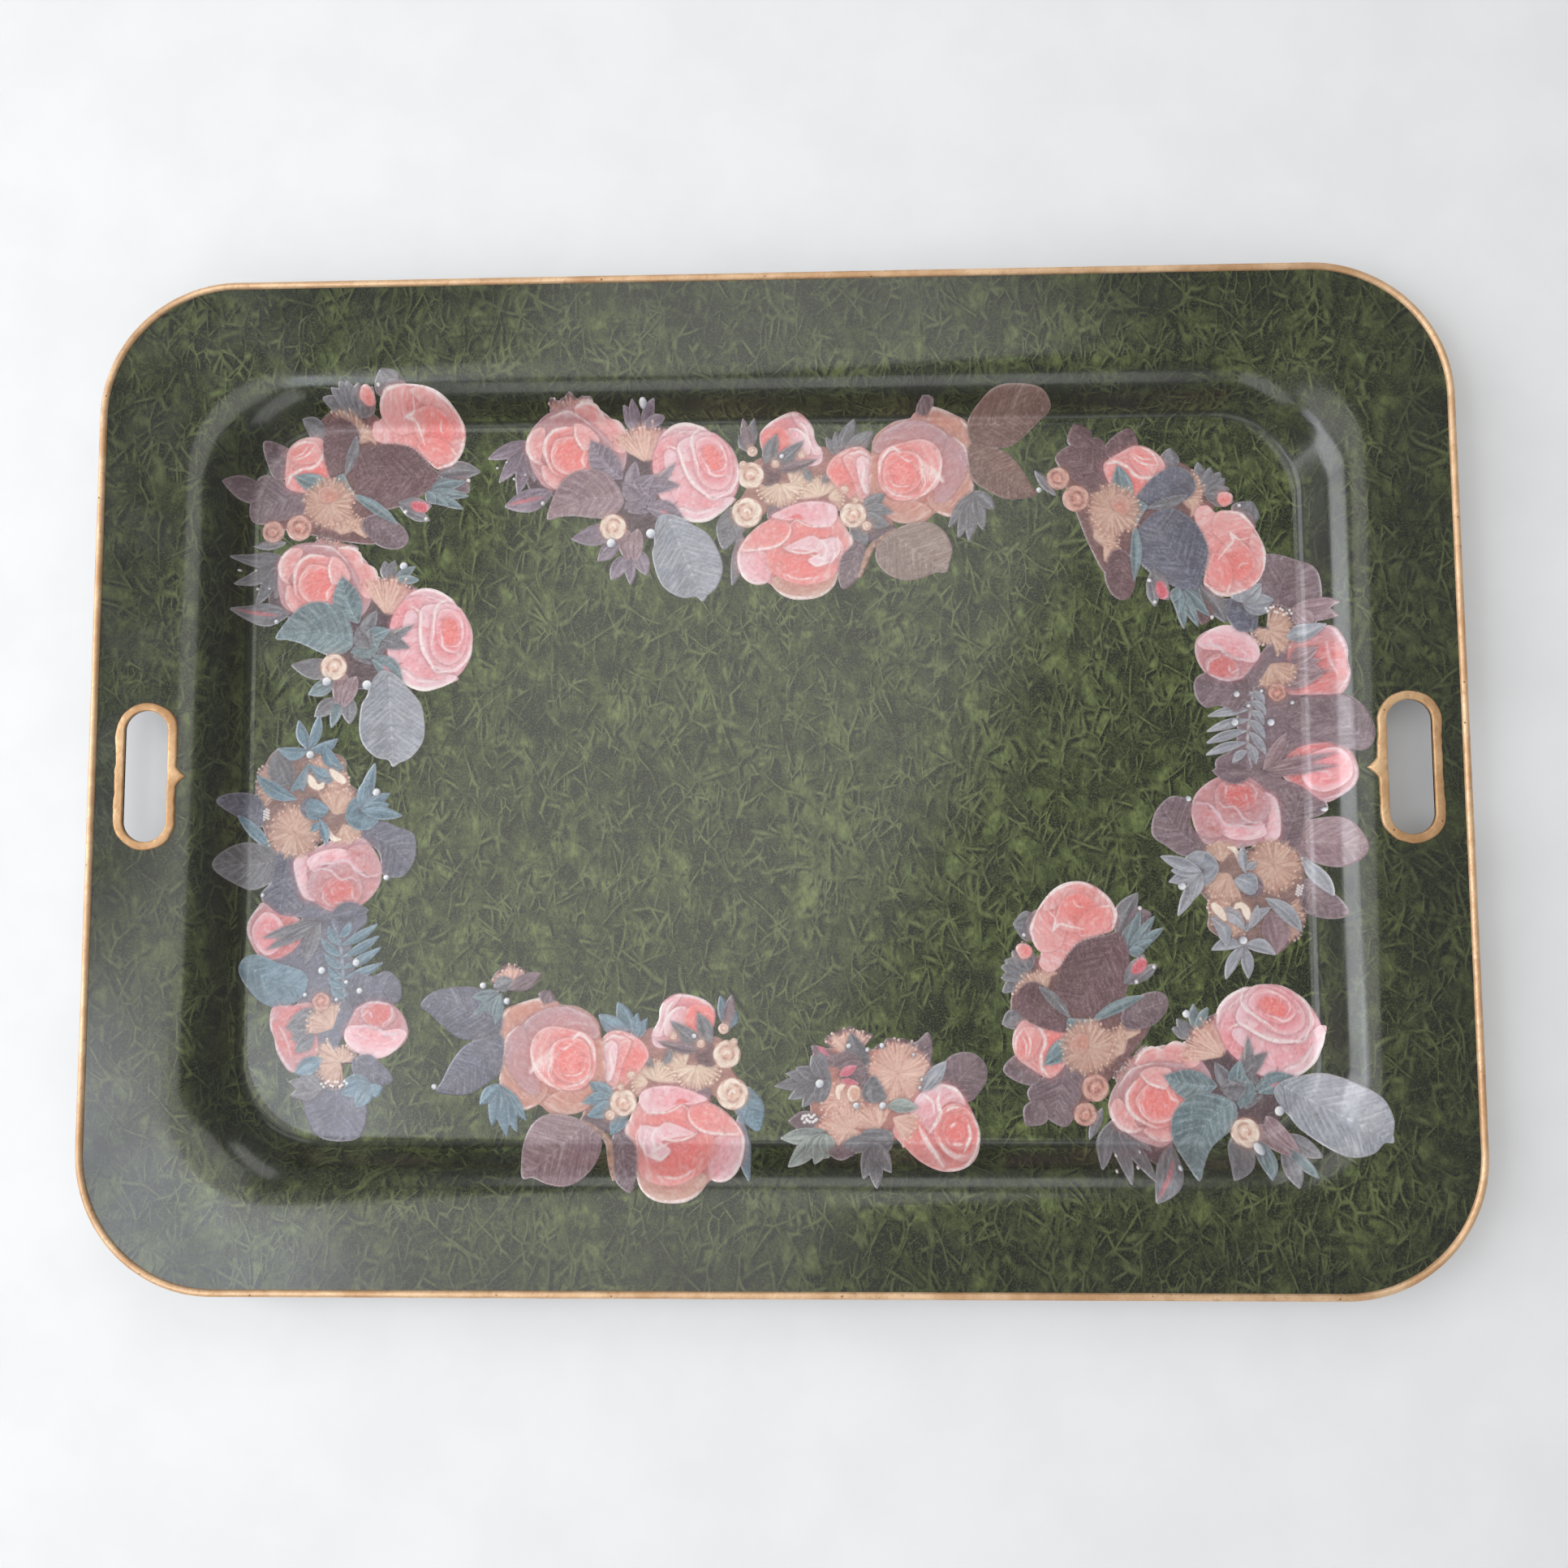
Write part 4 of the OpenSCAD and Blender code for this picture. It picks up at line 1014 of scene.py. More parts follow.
    # The fern.
    stroke(c, [(13, -91), (12, -74), (10, -60), (6, -50)], 1.6, teal[2], 0.8, 0.3, True)
    for (bx, by), tip in (((13, -89), (6, -83)), ((13, -84), (4, -78)), ((12, -79), (4, -73)),
                          ((12, -74), (2, -66)), ((11, -68), (0, -58)), ((10, -62), (4, -52)),
                          ((13, -88), (21, -84)), ((13, -83), (26, -77)), ((13, -79), (33, -71)),
                          ((12, -74), (32, -63)), ((12, -68), (31, -57)), ((11, -62), (30, -51)),
                          ((10, -58), (16, -50))):
        leaf(c, (bx, by), tip, 4.6, teal, 0.8 if tip[0] < 10 else -0.8)
    # Lower right leaf, third rose.
    blade(c, [(18, -77), (28, -78), (35, -75.5), (41, -80), (43, -88), (38, -93), (28, -94),
              (18, -96), (15, -88)], [(18, -88), (30, -86), (42, -86)], plum, 6)
    heart = (31, -98)
    petal(c, [(15, -104), (18, -98), (20, -94), (27, -91), (36, -92), (42, -96), (46, -103),
              (46, -110), (40, -116), (31, -120), (22, -118), (15, -113)], heart, ROSEWOOD,
          (0.3, 1.0))
    petal(c, [(15, -104), (24, -103.5), (32, -106), (42, -105), (46, -108), (40, -116),
              (31, -120), (21, -117), (14, -111)], (30, -102), BLUSH, (0.2, 0.9))
    petal(c, [(22, -95), (29, -92), (37, -93), (40, -99), (34, -104), (25, -102)], heart, ROSEWOOD,
          (0.1, 0.8))
    lines(c, ROSEWOOD, 0.9, (1.6, (16, -105), (24, -103.5), (31, -105), (36, -108), (45, -106)),
          (1.2, (33, -103), (38, -99), (38, -94)), (1.0, (22, -99), (26, -96), (28, -100)),
          (1.3, (20, -95), (28, -91.5), (37, -92.5)))
    # Fourth rose, half hidden.
    heart = (-12, -106)
    petal(c, [(-24, -94), (-14, -93), (-4, -92), (-2, -104), (0, -116), (-6, -124), (-14, -127),
              (-21, -118), (-23, -110), (-25.5, -103)], heart, ROSEWOOD, (0.1, 0.9))
    lines(c, ROSEWOOD, 0.9, (1.5, (-23, -95), (-25, -104), (-21, -116), (-14, -126), (-8, -127)),
          (1.0, (-21, -103), (-17, -110), (-14, -119)))
    leaf(c, (-2, -94), (-17, -105), 9, grey, 1)
    spray(c, (-2, -108), [(-16, -104), (-14, -110), (-12, -117)], 8, grey)
    # Stamens at the foot.
    stamens(c, 7, -105, 15, 70, 190, 56, DUSK)
    stamens(c, 12, -122, 15, 120, 275, 60, DUSK)
    stamens(c, 12, -122, 9, 0, 120, 30, DUSK)
    bud(c, 1, -91, 4.6, 30, BUD_PEACH)
    # Leaves at the foot.
    blade(c, [(18, -121), (26, -118), (32, -122), (39, -131), (30, -134), (20, -130)],
          [(20, -120), (28, -126), (38, -131)], BLUE, 4)
    blade(c, [(-8, -128), (8, -136), (22, -132), (26, -144), (22, -160), (2, -160), (-6, -148)],
          [(10, -134), (10, -146), (8, -158)], plum, 6)
    spray(c, (2, -136), [(-15, -132), (-14, -139), (-8, -128)], 8, grey)
    spray(c, (28, -133), [(13, -132), (12, -138), (20, -145), (31, -140)], 9, teal)
    leaf(c, (2, -120), (-12, -128), 9, teal)
    for k in range(12):
        dot(c, 2 + k * 1.2, -133 - 1.5 * math.sin(k * 1.7), 0.7)
        dot(c, -30 + 1.3 * math.sin(k * 2.1), 9 - 0.5 * k, 0.6)
    for px, py, r in ((1, -75, 1.8), (19, -71, 1.8), (14, -81, 1), (21, -85.5, 1.5),
                      (-7.5, -87.5, 1), (9, -90, 0.9), (-31, -36, 1), (34, -27, 1.3)):
        pearl(c, px, py, r)
    return brushwork(c)


def paint_tassel_spray(pitch, tints):
    """One folded rose beside a wide bank of peach stamens."""
    c = Canvas(-64, -44, 54, 42, pitch)
    lobed, plum, teal, grey = tints
    patch(c, [(-36, 24), (-10, 24), (12, 24), (18, 6), (10, -8), (0, -22), (-30, -24), (-40, -10),
              (-40, 14)], ink(176, 118, 108))
    blade(c, [(9, 26), (14, 28), (19.5, 32.5), (21.5, 26), (20, 17), (16, 10), (10, 14)],
          [(14, 12), (17, 22), (19.5, 32)], plum, 7)
    blade(c, [(27, 12), (28, 18), (34, 22), (42, 22), (48, 17), (49, 10), (46, 4), (40, -2),
              (32, 1), (26, 6)], [(30, 0), (36, 10), (44, 18)], plum, 7)
    stamens(c, -20, 20, 16, 45, 150, 50)
    leaf(c, (-10, 12), (-20, 33), 11, grey, 2)
    stamens(c, 4, 12, 18, -100, 260, 150)
    stamens(c, -25, -2, 12, 0, 360, 60)
    stamens(c, -6, -16, 15, 60, 175, 50)
    stamens(c, -20, -19, 18, 70, 190, 70)
    stamens(c, -20, -15, 12, 180, 330, 36)
    # The folded rose.
    heart = (33, -16)
    petal(c, [(14, 1), (20, 5), (26, 7), (33, 5), (38, -1), (42, -9), (45, -18), (43, -26),
              (36, -31), (25, -32.5), (14, -29), (6, -23), (1, -18), (3, -12), (8, -7)],
          heart, CORAL, (0.1, 0.95))
    petal(c, [(14, 1), (20, 5), (27, 6.5), (34, 3), (38, -4), (30, -2), (24, -8), (22, -18),
              (16, -14), (10, -8)], heart, BLUSH, (0.25, 0.95))
    petal(c, [(2, -17), (8, -9), (15, -12), (20, -22), (26, -29), (24, -32), (14, -29),
              (6, -23)], (12, -16), CORAL, (0.1, 0.8), 0.3, 0.2)
    petal(c, [(22, -14), (26, -6), (33, -3), (40, -7), (44, -16), (43, -24), (36, -29),
              (28, -27), (23, -22)], heart, CORAL, (0.1, 0.85))
    petal(c, [(26, -15), (29, -9), (35, -8), (40, -13), (40, -21), (34, -25), (28, -22)], heart,
          CORAL, (0.0, 0.4), 0.3, 0.3)
    petal(c, [(28, -16), (32, -12.5), (37, -14), (37, -20), (31, -21)], heart, CORAL, (0.0, 0.1),
          0.2, 0)
    lines(c, BLUSH, 0.95, (2.2, (25, 3), (24, -2), (25, -8), (22, -14), (19, -18)),
          (2.4, (14, -14), (18, -22), (22, -27), (25, -31)),
          (2.0, (24, -20), (26, -24), (31, -27), (37, -27)),
          (1.6, (28, -7), (31, -5), (35, -5)), (2.2, (41, -8), (45, -17), (43, -25), (37, -30)),
          (1.8, (26, 6.5), (33, 4), (37, -1)), (1.6, (30, -15), (33, -12.5)),
          (1.4, (31, -23), (36, -23)), (1.8, (39, -13), (40, -20), (36, -26)),
          (1.4, (26, -32), (34, -31.5), (40, -28)), (1.6, (16, 2), (21, -2), (22, -8)))
    stamens(c, 1, -10, 15, -70, 10, 34)
    leaf(c, (16, 3), (28.5, 18), 8, ICE, 0)
    leaf(c, (-2, -4), (14, -5), 7.5, teal, 0.5)
    # Calyx with pink petals, and a pink-striped bud.
    leaf(c, (-40, 26), (-24, 18), 8, plum, -2)
    stroke(c, [(-37, 26), (-34, 23.5), (-31, 21)], 2.6, ink(214, 112, 134), 0.95)
    leaf(c, (-30, 16), (-14, 19), 8, plum, 2)
    blade(c, [(-24, 17), (-17, 19), (-12, 15), (-11, 9), (-14, 5), (-20, 7), (-25, 10)],
          [(-25, 10), (-18, 12), (-12, 10)], plum, 6)
    leaf(c, (-26, 11), (-17, 16), 5, [ink(206, 96, 118)] * 2 + [BLUSH[2]], 0, rib=False)
    leaf(c, (-25, 9), (-16, 7), 5, [ink(206, 96, 118)] * 2 + [BLUSH[2]], -1, rib=False)
    blade(c, [(-15, 2), (-12, 8), (-8.5, 11), (-5, 7), (-2, 0), (-6, -2.5), (-12, -2)],
          [(-8, 10), (-8.5, 4), (-9, -2)], grey, 0)
    petal(c, [(-28, 2), (-27, 6), (-23, 6.5), (-25, 3), (-26, -1)], (-24, 2), BUD_CREAM)
    petal(c, [(-22, 2), (-20, 6), (-16, 5), (-16, 0), (-20, -2)], (-18, 2), BUD_CREAM)
    # Left sprigs.
    patch(c, [(-39, 20), (-34, 22), (-31, 14), (-30, 6), (-34, -2), (-40, 2), (-44, 8), (-40, 14)],
          lobed[1])
    spray(c, (-34, 9), [(-59, 5.5), (-53, 12), (-48, 15), (-40, 21), (-52, -1), (-45, -5),
                        (-37, -3)], 7, lobed)
    leaf(c, (-36, -10), (-52, -12), 10, plum, 1)
    for k in range(14):
        dot(c, -45 + 0.55 * k, -10.5 + 1.8 * math.sin(2.4 * k), 0.8)
    patch(c, [(-52, -18), (-40, -15), (-33, -17), (-31, -24), (-34, -28), (-42, -23)], teal[1])
    spray(c, (-33, -18), [(-56, -20.5), (-52, -31), (-44, -28), (-39, -30), (-32, -28)], 8, teal)
    leaf(c, (-32, -26), (-19, -26), 5, plum)
    # Grey leaf at the bottom.
    blade(c, [(-16, -20), (-12, -16), (-2, -16), (1, -20), (-1, -25), (-8, -27), (-14, -24)],
          [(-14, -19), (-6, -21), (0, -20)], grey, 0)
    spray(c, (-9, -22), [(-25, -23), (-15, -35.5), (-8.5, -39.5), (-1, -33)], 7, grey)
    for px, py, r in ((-36, 7, 2.1), (-17.5, -4, 1.5), (-4, -4, 1.7), (-11.5, 24, 1),
                      (-21, 26, 1.2), (-4, 26, 1.2), (15, 5, 0.9), (16, 9, 0.8), (12, 21.5, 0.8)):
        pearl(c, px, py, r)
    return brushwork(c)


def paint_small_sprig(pitch, tints):
    """A stray tuft with four leaves."""
    c = Canvas(-22, -22, 24, 22, pitch)
    stamens(c, 3, 4, 11, 40, 170, 30)
    leaf(c, (2, 2), (19, 10), 8, tints[1])
    spray(c, (-2, 0), [(-18, -2), (-16, -11), (-8, -12), (-5, -17)], 6, tints[2])
    leaf(c, (-6, 3), (4, 7), 8, tints[0])
    pearl(c, -11.5, 4, 1.5)
    pearl(c, 1, -4, 1.5)
    return brushwork(c)


# Each copy: node, painter, (x mm, y mm, turn, mirrored) and the inks of its leaves.
CUTOUTS = [
    ("cutout_left_lower", paint_tall_spray, (-235, -25, 0, False), (SEA, SEA, BLUE, GREY)),
    ("cutout_left_upper", paint_rose_pair, (-213.5, 70, -18.4, False), (TEAL, ICE, GREY, TEAL)),
    ("cutout_top_left", paint_dark_spray, (-208, 160, 0, False), (DEEP_PLUM, PLUM, TEAL, GREY)),
    ("cutout_top_bank", paint_rose_bank, (45, 150, 0, False), (BROWN, TAN, GREY, PLUM)),
    ("cutout_top_middle", paint_rose_pair, (-70, 148, 0, False),
     (MAUVE, ICE, LILAC, LILAC)),
    ("cutout_right", paint_tall_spray, (241.5, -48, 166.7, False), (PLUM, ICE, PLUM, MAUVE)),
    ("cutout_top_right", paint_dark_spray, (205.5, 121.5, -58, False),
     (BLUE, DEEP_PLUM, TEAL, GREY)),
    ("cutout_corner_upper", paint_dark_spray, (163, -110, 59.6, False),
     (DEEP_PLUM, PLUM, TEAL, GREY)),
    ("cutout_bottom_right", paint_rose_pair, (237.5, -161.5, 40.7, False),
     (TEAL, ICE, GREY, TEAL)),
    ("cutout_bottom_middle", paint_tassel_spray, (60, -165, 0, False), (GREY, PLUM, PALE, GREY)),
    ("cutout_bottom_left", paint_rose_bank, (-78, -154.5, 2.4, True), (BLUE, MAUVE, SEA, PLUM)),
    ("cutout_small_sprig", paint_small_sprig, (-138, -112, 0, False), (GREY, PLUM, TEAL, PLUM)),
]


# ---------------------------------------------------------------- metalwork


def build_pan(materials):
    """The pressing: floor, wall, lip and slots, with its underside."""
    rings = []
    for i in range(HEEL_STEPS + 1):
        a = WALL_ANGLE * i / HEEL_STEPS
        rings.append((HEEL_U + HEEL_R * math.sin(a), a))
    for i in range(1, WALL_STEPS):
        rings.append((WALL_U0 + (WALL_U1 - WALL_U0) * i / WALL_STEPS, WALL_ANGLE))
    for i in range(BROW_STEPS + 1):
        a = WALL_ANGLE + (LIP_ANGLE - WALL_ANGLE) * i / BROW_STEPS
        rings.append((BROW_U - BROW_R * (math.sin(a) - math.sin(LIP_ANGLE)), a))
    lip_run = FLARE - BEAD_R - EDGE_INSET - BROW_U
    for i in range(1, LIP_STEPS + 1):
        rings.append((BROW_U + lip_run * i / LIP_STEPS, LIP_ANGLE))
    points = []
    for u, _ in rings:
        plan = outline(u)
        points.append(np.column_stack([plan, np.full(len(plan), profile_height(u))]))
    for u, slope in reversed(rings):
        plan = outline(u + SHEET * math.sin(slope))
        z = float(profile_height(u)) - SHEET * math.cos(slope)
        points.append(np.column_stack([plan, np.full(len(plan), z)]))
    columns = len(points[0])
    rows = len(points)
    faces = join_rows(rows, columns)
    faces.append(tuple(range(columns)))
    faces.append(tuple(reversed(range((rows - 1) * columns, rows * columns))))
    pan = mesh_object("tray_pan_pressed", np.vstack(points), faces, materials)
    for side in (-1, 1):
        cut_slot(pan, side * SLOT_X)
    mesh = pan.data
    mesh.set_sharp_from_angle(angle=SHARP_ANGLE)
    for polygon in mesh.polygons:
        polygon.material_index = 0 if polygon.normal.z > UNDERSIDE_TURN else 1
    return pan


def cut_slot(pan, x):
    """Punches one hand slot through the lip."""
    plan = stadium(SLOT_L, SLOT_W) + (x, 0)
    levels = (BROW_Z - PUNCH, BROW_Z + PUNCH)
    points = [(px, py, z) for z in levels for px, py in plan]
    count = len(plan)
    faces = [(c, (c + 1) % count, count + (c + 1) % count, count + c)
             for c in range(count)]
    faces.append(tuple(reversed(range(count))))
    faces.append(tuple(range(count, 2 * count)))
    cutter = mesh_object("slot_cutter", points, faces, [])
    punch = pan.modifiers.new("slot", "BOOLEAN")
    punch.operation = "DIFFERENCE"
    punch.solver = "EXACT"
    punch.object = cutter
    shape = pan.evaluated_get(bpy.context.evaluated_depsgraph_get())
    punched = bpy.data.meshes.new_from_object(shape)
    pan.modifiers.clear()
    pan.data = punched
    bpy.data.objects.remove(cutter)


def build_rim(material):
    """The gilt bead round the edge, slightly uneven as hand work is."""
    steps = {"corner_steps": 60, "long_steps": 150, "short_steps": 110}
    path = outline(FLARE - BEAD_R, **steps)
    outward = outline(FLARE - BEAD_R + 1, **steps) - path
    sides = 22
    rows = []
    for k in range(sides):
        a = 2 * math.pi * k / sides
        wobble = 0.10 * value_noise(path[:, 0], path[:, 1] + 9 * k, 26, 3)
        dents = 0.10 * value_noise(path[:, 0] + 70, path[:, 1] + 4 * k, 5, 4) ** 3
        r = BEAD_R - wobble - dents
        plan = path + outward * (r * math.cos(a))[:, None]
        rows.append(np.column_stack([plan, BEAD_Z + r * math.sin(a)]))
    faces = join_rows(sides, len(path), close=True)
    faces = [tuple(reversed(f)) for f in faces]
    return mesh_object("rim_binding_gilt", np.vstack(rows), faces, [material])


# Collar section: how far across the band (0 inner, 1 outer) and how high, out of
# COLLAR_PEAK.
COLLAR_PEAK = 1.25
COLLAR_SECTION = [(0.0, -0.9), (0.0, 0.5), (0.03, 0.95), (0.09, 1.13), (0.2, 1.2),
                  (0.38, 1.25), (0.6, 1.22), (0.8, 1.16), (0.93, 0.98), (0.98, 0.6),
                  (1.0, 0.12), (1.01, -0.15)]


def build_collar(side, name, material):
    """A raised gilt collar round one slot, with a cusp towards the well."""
    inner = stadium(SLOT_L, SLOT_W, 90)
    outer = stadium(SLOT_L + 2, SLOT_W + 2, 90)
    outward = outer - inner
    band = np.full(len(inner), float(COLLAR_BAND))
    near = (inner[:, 0] * side < 0) & (np.abs(inner[:, 1]) < CUSP_FOOT)
    cusp = CUSP * (1 - np.abs(inner[:, 1]) / CUSP_FOOT).clip(0) ** CUSP_CURVE
    band[near] += cusp[near]
    seed = 20 + side
    band += 0.9 * (value_noise(inner[:, 0], inner[:, 1], 9, seed) - 0.5)
    band += 0.5 * (value_noise(inner[:, 0], inner[:, 1], 3, seed + 5) - 0.5)
    rows = []
    for across, height in COLLAR_SECTION:
        plan = inner + outward * (band * across)[:, None] + (side * SLOT_X, 0)
        ripple = value_noise(plan[:, 0], plan[:, 1], 2.2, seed + 9) - 0.5
        height = height * COLLAR_T / COLLAR_PEAK + 0.22 * ripple * (height > 0.3)
        rows.append(np.column_stack([plan, surface(plan[:, 0], plan[:, 1]) + height]))
    faces = join_rows(len(rows), len(inner))
    return mesh_object(name, np.vstack(rows), faces, [material])


# ---------------------------------------------------------------- paper


def glue_paper(name, canvas, place, material, lift=0):
    """A painted sheet cut out along its shapes and laid on the tray."""
    x0, y0, turn, mirrored = place
    turn = math.radians(turn)
    inside = canvas.reach + MARGIN
    keep = inside > 0
    quad = keep[:-1, :-1] & keep[1:, :-1] & keep[:-1, 1:] & keep[1:, 1:]
    used = np.zeros_like(keep)
    used[:-1, :-1] |= quad
    used[1:, :-1] |= quad
    used[:-1, 1:] |= quad
    used[1:, 1:] |= quad
    inner = np.zeros_like(keep)
    inner[1:-1, 1:-1] = quad[:-1, :-1] & quad[1:, :-1] & quad[:-1, 1:] & quad[1:, 1:]
    edge = used & ~inner
    # The edge points move out along the slope of the distance to the cut line.
    slope_y, slope_x = np.gradient(inside, canvas.pitch)
    steep = np.maximum(np.hypot(slope_x, slope_y), 0.3)
    step = np.where(edge, np.minimum(inside, 1.4 * canvas.pitch), 0)
    x = canvas.x - step * slope_x / steep
    y = canvas.y - step * slope_y / steep
    if mirrored:
        x = -x
    plan_x = x0 + x * math.cos(turn) - y * math.sin(turn)
    plan_y = y0 + x * math.sin(turn) + y * math.cos(turn)
    rise = np.clip(inside / 0.6, 0, 1)
    rise = np.where(edge, -0.1, 0.35 + 0.65 * np.sqrt(rise))
    z = surface(plan_x, plan_y) + PAPER * rise + lift * (rise > 0)
    number = np.full(keep.shape, -1)
    number[used] = np.arange(used.sum())
    corners = [number[:-1, :-1], number[:-1, 1:], number[1:, 1:], number[1:, :-1]]
    if mirrored:
        corners.reverse()
    faces = np.column_stack([c[quad] for c in corners]).tolist()
    points = np.column_stack([plan_x[used], plan_y[used], z[used]])
    piece = mesh_object(name, points, faces, [material])
    colour = np.ones((len(points), 4))
    colour[:, :3] = linear(cut_edge(canvas)[used])
    layer = piece.data.color_attributes.new("print", "FLOAT_COLOR", "POINT")
    layer.data.foreach_set("color", colour.ravel())
    return piece


def cut_edge(canvas):
    """The print's colours with bare paper showing along the cut."""
    worn = value_noise(canvas.x, canvas.y, 7, 31) * 0.6 + 0.15
    line = np.clip(1 - (canvas.reach + MARGIN) / 0.7, 0, 1) * worn
    return blend(canvas.rgb, PAPER_WHITE, line)


# ---------------------------------------------------------------- materials


class Nodes:
    """A small helper that adds and links shader nodes."""

    def __init__(self, name):
        self.material = bpy.data.materials.new(name)
        self.material.use_nodes = True
        self.tree = self.material.node_tree
        self.shader = self.tree.nodes["Principled BSDF"]
        self.place = self.add("ShaderNodeTexCoord").outputs["Object"]

    def add(self, kind, **settings):
        node = self.tree.nodes.new(kind)
        for key, value in settings.items():
            setattr(node, key, value)
        return node

    def link(self, source, target):
        self.tree.links.new(source, target)

    def set(self, **values):
        for key, value in values.items():
            self.shader.inputs[key.replace("_", " ")].default_value = value

    def put(self, node, key, value):
        """Feeds a socket a plain value or another socket."""
        if isinstance(value, bpy.types.NodeSocket):
            self.link(value, node.inputs[key])
        else:
            node.inputs[key].default_value = value

    def squeezed(self, scale, turn):
        """Coordinates scaled along each axis and then turned about Z."""
        node = self.add("ShaderNodeMapping")
        self.link(self.place, node.inputs["Vector"])
        node.inputs["Scale"].default_value = scale
        node.inputs["Rotation"].default_value = (0, 0, math.radians(turn))
        return node.outputs["Vector"]

    def grain(self, turn, long, source=None, shift=0.0):
        """Coordinates in which things grow long times longer, along turn from +Y."""
        node = self.add("ShaderNodeMapping", vector_type="TEXTURE")
        self.link(source or self.place, node.inputs["Vector"])
        node.inputs["Scale"].default_value = (1, long, 1)
        node.inputs["Rotation"].default_value = (0, 0, math.radians(turn))
        node.inputs["Location"].default_value = (shift, shift, 0)
        return node.outputs["Vector"]

    def noise(self, size, source=None, detail=4.0, rough=0.55):
        """Noise whose blobs are about size mm across, 0 to 1."""
        node = self.add("ShaderNodeTexNoise")
        self.link(source or self.place, node.inputs["Vector"])
        node.inputs["Scale"].default_value = 1 / (size * MM)
        node.inputs["Detail"].default_value = detail
        node.inputs["Roughness"].default_value = rough
        return node.outputs["Fac"]

    def cells(self, size, source=None, feature="F1"):
        """Cells about size mm across."""
        node = self.add("ShaderNodeTexVoronoi", feature=feature)
        self.link(source or self.place, node.inputs["Vector"])
        node.inputs["Scale"].default_value = 1 / (size * MM)
        return node

    def math(self, operation, a, b=0.0, c=0.0, clamp=False):
        node = self.add("ShaderNodeMath", operation=operation, use_clamp=clamp)
        for key, value in enumerate((a, b, c)):
            self.put(node, key, value)
        return node.outputs[0]

    def ramp(self, value, low, high, a=0.0, b=1.0):
        """Maps low..high smoothly to a..b."""
        node = self.add("ShaderNodeMapRange", interpolation_type="SMOOTHSTEP")
        self.link(value, node.inputs["Value"])
        for key, number in zip(("From Min", "From Max", "To Min", "To Max"),
                               (low, high, a, b)):
            node.inputs[key].default_value = number
        return node.outputs["Result"]

    def mix(self, amount, a, b):
        """Colour a where amount is 0 and colour b where it is 1."""
        node = self.add("ShaderNodeMix", data_type="RGBA")
        self.put(node, 0, amount)
        self.put(node, 6, a)
        self.put(node, 7, b)
        return node.outputs[2]

    def bump(self, height, depth_mm, strength, below=None):
        """A surface direction for lumps depth_mm deep, over those of below."""
        node = self.add("ShaderNodeBump")
        self.link(height, node.inputs["Height"])
        node.inputs["Distance"].default_value = depth_mm * MM
        node.inputs["Strength"].default_value = strength
        if below:
            self.link(below, node.inputs["Normal"])
        return node.outputs["Normal"]


def tone(r, g, b):
    """A colour given as 0..255 screen values, for a shader socket."""
    return (*linear(np.array([r, g, b]) / 255), 1)


def painted_edge_shade(n):
    """How far the green is darkened with painted shade: walls, the two ends and the corners."""
    parts = n.add("ShaderNodeSeparateXYZ")
    n.link(n.place, parts.inputs[0])
    ends = n.ramp(n.math("ABSOLUTE", parts.outputs["X"]), 0.270, 0.325, 0.0, 0.55)
    sides = n.ramp(n.math("ABSOLUTE", parts.outputs["Y"]), 0.19, 0.25, 0.0, 0.45)
    rise = n.ramp(parts.outputs["Z"], 0.002, 0.010, 0.0, 1.0)
    fall = n.ramp(parts.outputs["Z"], 0.018, 0.026, 1.0, 0.0)
    wall = n.math("MULTIPLY", n.math("MULTIPLY", rise, fall), 0.65)
    cloudy = n.ramp(n.noise(34, None, 4), 0.3, 0.7, 0.6, 1.2)
    return n.math("MULTIPLY", n.math("MAXIMUM", n.math("MAXIMUM", ends, sides), wall), cloudy)


def crease_shade_and_wax(n):
    """How far a place lies in the bend at the edge of the floor, 0 to 1: there the green gets
    painted shade and wax makes the varnish rougher.
    """
    parts = n.add("ShaderNodeSeparateXYZ")
    n.link(n.place, parts.inputs[0])
    rise = n.ramp(parts.outputs["Z"], 0.0012, 0.0016)
    fall = n.ramp(parts.outputs["Z"], 0.0034, 0.0050, 1.0, 0.0)
    return n.math("MULTIPLY", rise, fall)


